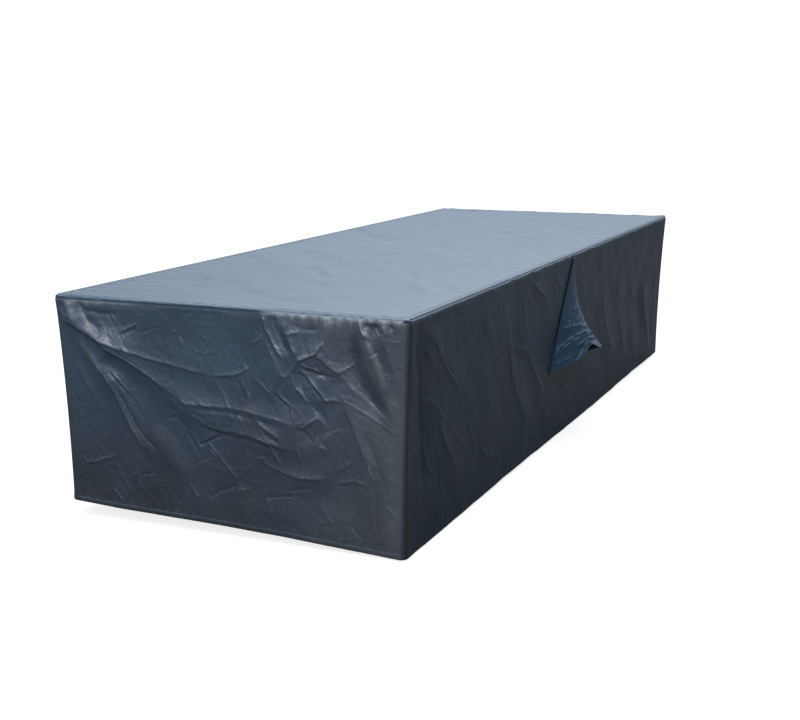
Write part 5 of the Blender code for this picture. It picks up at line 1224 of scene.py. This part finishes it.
def make_top():
    """The top: a nearly flat middle, then the stitched groove, the rolled seam and the lip, all the way round."""
    across, along = TOP_CELLS
    inner_x, inner_y = HALF_WIDTH - CORNER_RADIUS, HALF_LENGTH - CORNER_RADIUS
    xs = np.linspace(-inner_x, inner_x, across + 1)
    share = np.linspace(0, 1, along + 1)
    ys = -inner_y + 2 * inner_y * (0.45 * share + 0.55 * share ** 2)
    x, y = np.meshgrid(xs, ys)
    edge = np.minimum(inner_x - np.abs(x), inner_y - np.abs(y))
    centre = smooth((np.hypot(x, y) - 0.020) / 0.080)
    calm = smooth(edge / 0.040) * centre
    height = calm * fold_height(TOP_FOLDS, x, y)
    height += smooth(edge / 0.012) * (1.2 * soften(crease_height(TOP_CREASES, x, y), 2) + 0.6 * slack(x, y, 2.4) * centre)
    # short pull marks that run in from the seam
    pulls = np.sin(x * 150 + 3.0 * np.sin(x * 17.0)) * np.exp(-((inner_y + y) / 0.05)) * 0.0004
    pulls += np.sin(y * 120 + 3.0 * np.sin(y * 11.0)) * np.exp(-((inner_x - x) / 0.05)) * 0.0005
    pulls += np.sin(y * 110 + 2.6 * np.sin(y * 13.0)) * np.exp(-((inner_x + x) / 0.05)) * 0.0005
    height += pulls * smooth(edge / 0.010)
    grid = np.stack([x, y, TOP_Z + height], -1)
    points = [grid.reshape(-1, 3)]
    uvs = [np.stack([x, y], -1).reshape(-1, 2)]
    none = np.zeros(x.size)
    stitches, lips, ditches, rolls, hazes = [none], [none], [none], [none], [none]
    quads = grid_quads(along + 1, across + 1)
    index = np.arange(x.size).reshape(along + 1, across + 1)
    loop = [(index[0, i], -90.0) for i in range(across)] + [(index[j, across], 0.0) for j in range(along)]
    loop += [(index[along, i], 90.0) for i in range(across, 0, -1)] + [(index[j, 0], 180.0) for j in range(along, 0, -1)]
    fans = {index[0, 0]: (-180.0, -90.0), index[0, across]: (-90.0, 0.0), index[along, across]: (0.0, 90.0), index[along, 0]: (90.0, 180.0)}
    base, headings = [], []
    for vertex, heading in loop:
        first, last = fans.get(vertex, (heading, heading))
        steps = 2 * CORNER_STEPS if vertex in fans else 0
        for k in range(steps + 1):
            base.append(vertex)
            headings.append(first + (last - first) * k / max(1, steps))
    base, headings = np.array(base), np.radians(np.array(headings))
    foot = grid.reshape(-1, 3)[base]
    dx, dy = np.cos(headings), np.sin(headings)
    # how much each place on the edge gathers, from the panel that hangs there
    gather = np.zeros(len(base))
    for name in PANELS:
        panel = panel_of(name)
        nx, ny = panel["out"]
        mine = (np.abs(dx - nx) < 1e-6) & (np.abs(dy - ny) < 1e-6)
        a = foot[mine, 0] * panel["along"][0] + foot[mine, 1] * panel["along"][1]
        gather[mine] = pucker_height(panel["puckers"], a, np.full(a.shape, -0.0075), panel["half"] - CORNER_RADIUS)
    nubs = np.zeros(len(base))
    for place, width, tall in SEAM_NUBS:
        nubs += tall * np.exp(-(((foot[:, 1] - place) / width) ** 2)) * (dx > 0.99)
    knot = np.exp(-((foot[:, 0] - inner_x) ** 2 + (foot[:, 1] - inner_y) ** 2) / 0.016 ** 2)
    end_like = smooth((np.abs(dy) - 0.35) / 0.45)
    spill = spill_share(foot[:, 0]) * (dy < -0.999)
    haze, hidden = haze_share(foot[:, 0])
    haze, hidden = haze * (dy < -0.999), hidden * (dy < -0.999)
    around = np.concatenate([[0.0], np.cumsum(np.hypot(np.diff(foot[:, 0] + dx * 0.014), np.diff(foot[:, 1] + dy * 0.014)))])
    wobble = 0.00045 * np.sin(around * 210.0 + 2.0 * np.sin(around * 37.0)) + 0.0007 * np.sin(around * 93.0) + 0.0010 * np.sin(around * 41.0 + 1.5 * np.sin(around * 9.0))
    rings = [base]
    offset = x.size
    steps = len(EDGE)
    for k, row in enumerate(EDGE):
        edge_row = dict(zip(EDGE_COLUMNS, row))
        inset = (edge_row["side_inset"] * (1 - end_like) + edge_row["end_inset"] * end_like) / 1000
        up = (edge_row["side_z"] * (1 - end_like) + edge_row["end_z"] * end_like) / 1000
        turn = math.radians(90.0) - (math.radians(90.0) - math.asin(1.0 - 0.0072 / SPILL[1])) * k / (steps - 1)
        inset = inset + spill * (0.75 * SPILL[0] - SPILL[0] * math.cos(turn) - inset)
        up = up + spill * (SPILL[1] * (math.sin(turn) - 1.0) - TOP_Z * min(1.0, k / 5.0) - up)
        rolled = smooth(1 - abs(k - 9) / 5.0) * (1 - 0.7 * smooth((-0.55 - foot[:, 1]) / 0.20))
        up = up + (0.8 * nubs + wobble * (1 - 0.6 * spill)) * rolled + 0.0024 * knot * smooth(k / 3.0) * smooth((13 - k) / 4.0)
        reach = CORNER_RADIUS - inset + smooth((k - 8) / 7.0) * 0.6 * gather + 0.5 * nubs * smooth(1 - abs(k - 10) / 5.0)
        ring = np.stack([foot[:, 0] + dx * reach, foot[:, 1] + dy * reach, TOP_Z + up], -1)
        points.append(ring)
        uvs.append(np.stack([around, inset], -1))
        stitches.append((1.0 - end_like) if k == 3 else np.zeros(len(base)))
        lips.append((float(smooth((k - 7) / 4.0)) * end_like + float(smooth((k - 4) / 3.0)) * (1 - end_like)) * (1 - 0.95 * hidden))
        # painted shade in the long sides' ditch, on the ends' lip and on the knot at the far corner; painted highlight
        # on the rolled seam and the near end's gathers
        ditches.append(DITCH[k] * (1 - end_like) + end_like * 0.8 * float(k in (11, 12, 13)) * (1 - hidden))
        ditches[-1] = np.maximum(ditches[-1], knot)
        rolls.append(0.5 * ROLL[k] * (1 - end_like))
        hazes.append(haze * (0.45 + 0.55 * spill) * float(smooth((k - 13) / 2.0)) * (1 - hidden) + hidden * float(smooth((k - 7) / 5.0)) * (0.6 + 0.4 * spill))
        rings.append(np.arange(offset, offset + len(base)))
        offset += len(base)
    count = len(base)
    for inner, outer in zip(rings, rings[1:]):
        for k in range(count):
            n = (k + 1) % count
            if inner[k] == inner[n]:
                quads.append((int(inner[k]), int(outer[k]), int(outer[n])))
            else:
                quads.append((int(inner[k]), int(outer[k]), int(outer[n]), int(inner[n])))
    sheet = sheet_object("top_panel_cloth", np.concatenate(points), quads, np.concatenate(uvs), np.concatenate(stitches), MATERIALS["top"])
    # painted shade towards the near left corner of the top
    corner = 0.45 * smooth((0.15 - x) / 0.45) * smooth((-0.10 - y) / 0.80) * smooth(edge / 0.004)
    corners = np.concatenate([corner.ravel()] + [corner.ravel()[base]] * steps)
    mark(sheet, shaded=corners, lip=np.concatenate(lips), trough=np.concatenate(ditches), crest=np.concatenate(rolls), rubbed=np.concatenate(hazes))
    return sheet


HOOD_CREASES = (  # across, down (both in metres on the flat hood, from its middle and its apex)
    (((-0.070, -0.258), (-0.052, -0.245), (-0.031, -0.234), (-0.004, -0.224), (0.022, -0.216)), 4.4, 4, 3, 1.2),
    (((-0.050, -0.224), (-0.030, -0.2205), (-0.005, -0.222), (0.030, -0.224)), 3.6, 4, 3, 1.2),
    (((-0.048, -0.230), (-0.026, -0.228), (-0.002, -0.226)), -3.0, 4, 4, 1.5),
    (((-0.112, -0.222), (-0.101, -0.202), (-0.072, -0.195), (-0.038, -0.193), (0.000, -0.200), (0.030, -0.206)), 4.4, 5, 3, 1.2),
    (((-0.104, -0.214), (-0.080, -0.205), (-0.045, -0.202), (-0.005, -0.210)), 3.0, 3, 3, 1.2),
    (((-0.106, -0.208), (-0.076, -0.200), (-0.042, -0.197)), -2.4, 3, 3, 1.4),
    (((-0.091, -0.156), (-0.062, -0.161), (-0.034, -0.166), (0.002, -0.181), (0.025, -0.186)), 2.4, 7, 4, 1.3),
    (((-0.020, -0.160), (-0.010, -0.154), (0.004, -0.147)), 2.2, 4, 4, 1.2),
    (((-0.062, -0.136), (-0.048, -0.144), (-0.034, -0.148)), -1.8, 4, 4, 1.4),
    (((-0.026, -0.128), (-0.006, -0.124), (0.010, -0.126)), 1.8, 5, 4, 1.3),
    (((-0.018, -0.098), (-0.008, -0.086), (0.002, -0.080)), 2.0, 3, 3, 1.2),
    (((0.006, -0.096), (0.004, -0.084)), 1.6, 3, 3, 1.2),
    (((-0.010, -0.210), (0.004, -0.204), (0.022, -0.207)), 3.0, 6, 6, 1.4),
    (((-0.034, -0.112), (-0.046, -0.140), (-0.058, -0.176)), 1.2, 6, 6, 1.6),
    (((0.060, -0.160), (0.078, -0.190), (0.096, -0.226)), 2.6, 8, 6, 1.4),
    (((0.040, -0.120), (0.052, -0.150), (0.070, -0.185)), -2.4, 7, 6, 1.6),
    (((-0.120, -0.240), (-0.100, -0.236), (-0.070, -0.240)), 1.6, 5, 4, 1.3),
)


def make_hood():
    """The vent hood, with its doubled hem and the creases over its mouth."""
    panel = panel_of("side_panel_right")
    wide, tall = 150, 128
    across = np.linspace(0, 1, wide + 1)
    down = np.linspace(0, 1, tall + 1)
    s, t = np.meshgrid(across, down)
    half = VENT_HALF_TOP + (VENT_HALF_FOOT - VENT_HALF_TOP) * t
    y = VENT_Y + (2 * s - 1) * half
    inner = (s - VENT_FLANGE) / (1 - 2 * VENT_FLANGE)
    side = np.where(inner < VENT_RIDGE, VENT_RIDGE, 1 - VENT_RIDGE)
    swell = np.where((inner > 0) & (inner < 1), 1.0 - (np.abs(inner - VENT_RIDGE) / side) ** 1.45, 0.0)
    z = VENT_TOP - VENT_DROP * t + VENT_LIFT * t ** 2 * swell
    flat = panel["half"] - CORNER_RADIUS
    hang = -DRAW_IN * np.sin(np.pi * np.clip((-z - LIP_DEPTH) / 0.40, 0, 1)) ** 0.8
    quiet = vent_quiet(y, z)
    calm = smooth((-z - LIP_DEPTH) / 0.030) * (1 - quiet)
    base = hang + calm * fold_height(panel["folds"], y, z)
    out = CLOTH + VENT_CLEAR + VENT_REACH * t ** VENT_CURVE * swell
    z += 0.019 * np.exp(-(((s - 0.43) / 0.070) ** 2)) * t ** 8 + 0.0038 * (1 - t) ** 12
    points = leaning(np.stack([HALF_WIDTH + base + out, y, z], -1))
    du, dv = np.gradient(points, axis=1), np.gradient(points, axis=0)
    normal = np.cross(dv, du)
    normal /= np.maximum(1e-9, np.linalg.norm(normal, axis=-1, keepdims=True))
    if normal[tall // 2, wide // 2, 0] < 0:
        normal = -normal
    flat_y, flat_z = (2 * s - 1) * half, -VENT_DROP * t
    from_mouth = VENT_DROP * (1 - t)
    edge = np.minimum(s, 1 - s) * 2 * half
    detail = crease_height(HOOD_CREASES, flat_y, flat_z) * smooth((edge - 0.004) / 0.012)
    detail += 0.0009 * smooth((0.027 - from_mouth) / 0.003) - 0.0011 * np.exp(-(((from_mouth - 0.026) / 0.0018) ** 2))
    detail += 0.0008 * np.sin(s * 46 + 2 * np.sin(s * 9)) * np.exp(-(((from_mouth - 0.018) / 0.012) ** 2)) * smooth((edge - 0.004) / 0.012)
    detail += 1.8 * slack(flat_y, flat_z, 0.4) * smooth(edge / 0.02)
    detail -= 0.0008 * np.exp(-(((edge - 0.0075) / 0.0016) ** 2)) * smooth(t / 0.08)
    points = points + normal * detail[..., None]
    stitch = np.exp(-(((from_mouth - 0.026) / 0.0014) ** 2)) + np.exp(-(((edge - 0.0075) / 0.0012) ** 2)) * smooth(t / 0.08)
    uvs = np.stack([y, z], -1).reshape(-1, 2)
    hood = sheet_object("vent_hood_cloth", points.reshape(-1, 3), grid_quads(tall + 1, wide + 1), uvs, np.clip(stitch, 0, 1).ravel(), MATERIALS["hood"])
    # painted highlight along the creases' crests and the mouth's rim; painted shade in their troughs, along the hood's
    # edges and on the hem's stitched line, and a painted shadow in the mouth
    crest, trough = crease_marks(HOOD_CREASES, flat_y, flat_z, 0.0021)
    outline = np.exp(-((edge / 0.0028) ** 2)) * (s < 0.5) + np.exp(-((edge / 0.0110) ** 2)) * (s > 0.5) * smooth((0.46 - t) / 0.12)
    band = np.exp(-(((from_mouth - 0.0255) / 0.0026) ** 2))
    rim = np.exp(-((from_mouth / 0.0016) ** 2))
    mouth = np.exp(-(((s - 0.43) / 0.07) ** 2)) * np.exp(-((from_mouth / 0.008) ** 2))
    fields = [f.ravel() for f in (1.9 * crest + 0.7 * rim * (1 - mouth), trough * (crest < 0.3) + outline + 0.9 * band + 1.2 * mouth)]
    mark(hood, crest=fields[0], trough=fields[1])
    thick = hood.modifiers.new("thickness", "SOLIDIFY")
    thick.thickness = 0.0014
    thick.offset = 0.0
    thick.use_rim = True
    return hood


pieces = {name: make_panel(name) for name in PANELS}
pieces["top_panel"] = make_top()
pieces["vent_hood"] = make_hood()
for node, piece in pieces.items():
    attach(piece, "root")
    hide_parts(node)


# ---------------------------------------------------------------- floor, light and camera
def seen_or_not(tree):
    """One where the lens sees a thing directly, nought where it lights or is mirrored in the cloth."""
    return tree.nodes.new("ShaderNodeLightPath").outputs["Is Camera Ray"]


def make_floor():
    """A wide plain floor, near white, which throws less light up at the cloth than it shows."""
    floor_z = min(HEM_Z.values()) - 0.0042
    points = [(0.0, 0.0, floor_z)] + [
        (60 * math.cos(k * math.pi / 48), 60 * math.sin(k * math.pi / 48), floor_z) for k in range(96)
    ]
    mesh = bpy.data.meshes.new("floor")
    mesh.from_pydata(points, [], [(0, 1 + k, 1 + (k + 1) % 96) for k in range(96)])
    material = bpy.data.materials.new("floor")
    material.use_nodes = True
    tree = material.node_tree
    tree.nodes.clear()
    output = tree.nodes.new("ShaderNodeOutputMaterial")
    switch, pale = tree.nodes.new("ShaderNodeMixShader"), tree.nodes.new("ShaderNodeAddShader")
    dim, bright, glow = tree.nodes.new("ShaderNodeBsdfDiffuse"), tree.nodes.new("ShaderNodeBsdfDiffuse"), tree.nodes.new("ShaderNodeEmission")
    dim.inputs["Color"].default_value = (0.20, 0.20, 0.20, 1.0)
    bright.inputs["Color"].default_value = (0.55, 0.55, 0.55, 1.0)
    glow.inputs["Strength"].default_value = 0.80
    tree.links.new(bright.outputs[0], pale.inputs[0])
    tree.links.new(glow.outputs[0], pale.inputs[1])
    tree.links.new(seen_or_not(tree), switch.inputs[0])
    tree.links.new(dim.outputs[0], switch.inputs[1])
    tree.links.new(pale.outputs[0], switch.inputs[2])
    tree.links.new(switch.outputs[0], output.inputs["Surface"])
    mesh.materials.append(material)
    obj = bpy.data.objects.new("floor", mesh)
    bpy.context.scene.collection.objects.link(obj)
    return obj


def area_light(name, place, target, size, power, colour, lit, shine_only=False):
    """A soft box that lights only the objects in lit, or is only mirrored in them."""
    light = bpy.data.lights.new(name, "AREA")
    light.shape = "RECTANGLE"
    light.size, light.size_y = size
    light.energy = power
    light.color = colour
    obj = bpy.data.objects.new(name, light)
    obj.location = place
    obj.rotation_euler = (Vector(target) - Vector(place)).to_track_quat("-Z", "Y").to_euler()
    bpy.context.scene.collection.objects.link(obj)
    group = bpy.data.collections.new(name + "_lights")
    for thing in lit:
        group.objects.link(thing)
    obj.light_linking.receiver_collection = group
    obj.visible_diffuse = not shine_only
    return obj


SKY_COLUMNS = ("towards", "from", "to", "strength")   # soft patches of light in the room
SKY = (
    ((-0.15, 0.93, 0.30), 0.55, 0.98, 0.98),   # behind: what the top mirrors
    ((-0.30, -0.60, 0.74), 0.30, 1.00, 0.45),  # overhead, a little to the front
    ((-1.00, 0.00, 0.20), 0.20, 1.00, 0.25),   # the left
    ((-0.35, -1.00, 0.10), 0.20, 1.00, 0.35),  # in front
)
SKY_BASE = 0.13


def make_world():
    world = bpy.data.worlds.new("studio")
    bpy.context.scene.world = world
    world.use_nodes = True
    tree = world.node_tree
    tree.nodes.clear()
    output = tree.nodes.new("ShaderNodeOutputWorld")
    shown, lit, switch = tree.nodes.new("ShaderNodeBackground"), tree.nodes.new("ShaderNodeBackground"), tree.nodes.new("ShaderNodeMixShader")
    shown.inputs["Strength"].default_value = 1.05
    shown.inputs["Color"].default_value = (1.0, 1.0, 1.0, 1.0)
    lit.inputs["Color"].default_value = (0.80, 0.905, 1.0, 1.0)
    heading = tree.nodes.new("ShaderNodeTexCoord").outputs["Generated"]
    total = SKY_BASE
    for row in SKY:
        patch = dict(zip(SKY_COLUMNS, row))
        dot = tree.nodes.new("ShaderNodeVectorMath")
        dot.operation = "DOT_PRODUCT"
        dot.inputs[1].default_value = Vector(patch["towards"]).normalized()
        tree.links.new(heading, dot.inputs[0])
        rise = tree.nodes.new("ShaderNodeMapRange")
        rise.interpolation_type = "SMOOTHSTEP"
        rise.inputs["From Min"].default_value = patch["from"]
        rise.inputs["From Max"].default_value = patch["to"]
        tree.links.new(dot.outputs["Value"], rise.inputs["Value"])
        total = math_node(tree, "MULTIPLY_ADD", rise.outputs["Result"], patch["strength"], total)
    tree.links.new(total, lit.inputs["Strength"])
    tree.links.new(seen_or_not(tree), switch.inputs[0])
    tree.links.new(lit.outputs[0], switch.inputs[1])
    tree.links.new(shown.outputs[0], switch.inputs[2])
    tree.links.new(switch.outputs[0], output.inputs["Surface"])


floor = make_floor()
make_world()
cover = list(pieces.values())
near_end = [pieces["front_panel"]]
vent_side = [pieces["side_panel_right"], pieces["vent_hood"]]
far_sides = [pieces["back_panel"], pieces["side_panel_left"]]
area_light("key", (0.95, -2.85, 1.75), (0.0, -1.00, -0.12), (1.1, 1.1), 118.0, (0.96, 0.98, 1.0), near_end)
area_light("near top", (0.95, -2.85, 1.75), (0.0, -1.00, -0.12), (1.1, 1.1), 118.0, (0.95, 0.98, 1.0), [pieces["top_panel"]]).visible_glossy = False
area_light("shine", (-0.75, -2.90, 1.35), (0.0, -1.05, -0.20), (0.8, 0.8), 34.0, (0.90, 0.95, 1.0), near_end + [pieces["top_panel"]], True)
area_light("side key", (2.20, -2.20, 2.60), (0.38, -0.20, -0.20), (1.2, 1.2), 27.0, (0.46, 0.76, 0.98), vent_side)
area_light("hood key", (0.60, -1.90, 1.90), (0.42, -0.05, -0.16), (0.5, 0.5), 9.0, (0.84, 0.94, 1.0), [pieces["vent_hood"]])
area_light("vent shine", (3.20, 0.10, 0.75), (0.38, 0.0, -0.22), (3.4, 0.9), 34.0, (0.78, 0.90, 1.0), [pieces["side_panel_right"]], True)
area_light("fill", (-2.60, 2.60, 2.40), (-0.10, 0.40, -0.20), (1.0, 1.0), 120.0, (0.92, 0.97, 1.0), far_sides)
area_light("over", (0.45, 1.60, 3.90), (0.05, 0.45, 0.0), (2.4, 1.6), 420.0, (0.95, 0.98, 1.0), far_sides + [pieces["top_panel"]])
area_light("wash", (0.0, 0.0, 5.0), (0.0, 0.0, 0.0), (5.0, 6.0), 160.0, (1.0, 1.0, 1.0), [floor])

CAMERA = {"place": (1.221, -3.071, 0.381), "azimuth": 23.55, "elevation": 11.32, "roll": -0.11, "focal": 1309.8, "centre": (390.2, 354.9)}


def make_camera():
    az, el, ro = (math.radians(CAMERA[k]) for k in ("azimuth", "elevation", "roll"))
    ahead = Vector((-math.sin(az) * math.cos(el), math.cos(az) * math.cos(el), -math.sin(el)))
    right = Vector((math.cos(az), math.sin(az), 0.0))
    up = right.cross(ahead)
    right2 = right * math.cos(ro) + up * math.sin(ro)
    up2 = -right * math.sin(ro) + up * math.cos(ro)
    data = bpy.data.cameras.new("camera")
    data.sensor_fit = "HORIZONTAL"
    data.sensor_width = 36.0
    data.lens = CAMERA["focal"] * 36.0 / 800.0
    data.shift_x = (400.0 - CAMERA["centre"][0]) / 800.0
    data.shift_y = (CAMERA["centre"][1] - 360.0) / 800.0
    data.clip_start, data.clip_end = 0.05, 100.0
    obj = bpy.data.objects.new("camera", data)
    turn = Matrix((right2, up2, -ahead)).transposed().to_4x4()
    obj.matrix_world = Matrix.Translation(Vector(CAMERA["place"])) @ turn
    bpy.context.scene.collection.objects.link(obj)
    bpy.context.scene.camera = obj


make_camera()
bpy.context.scene.view_settings.view_transform = "Standard"
bpy.context.scene.view_settings.look = "None"
bpy.context.scene.view_settings.exposure = 0.0

bpy.context.view_layer.update()
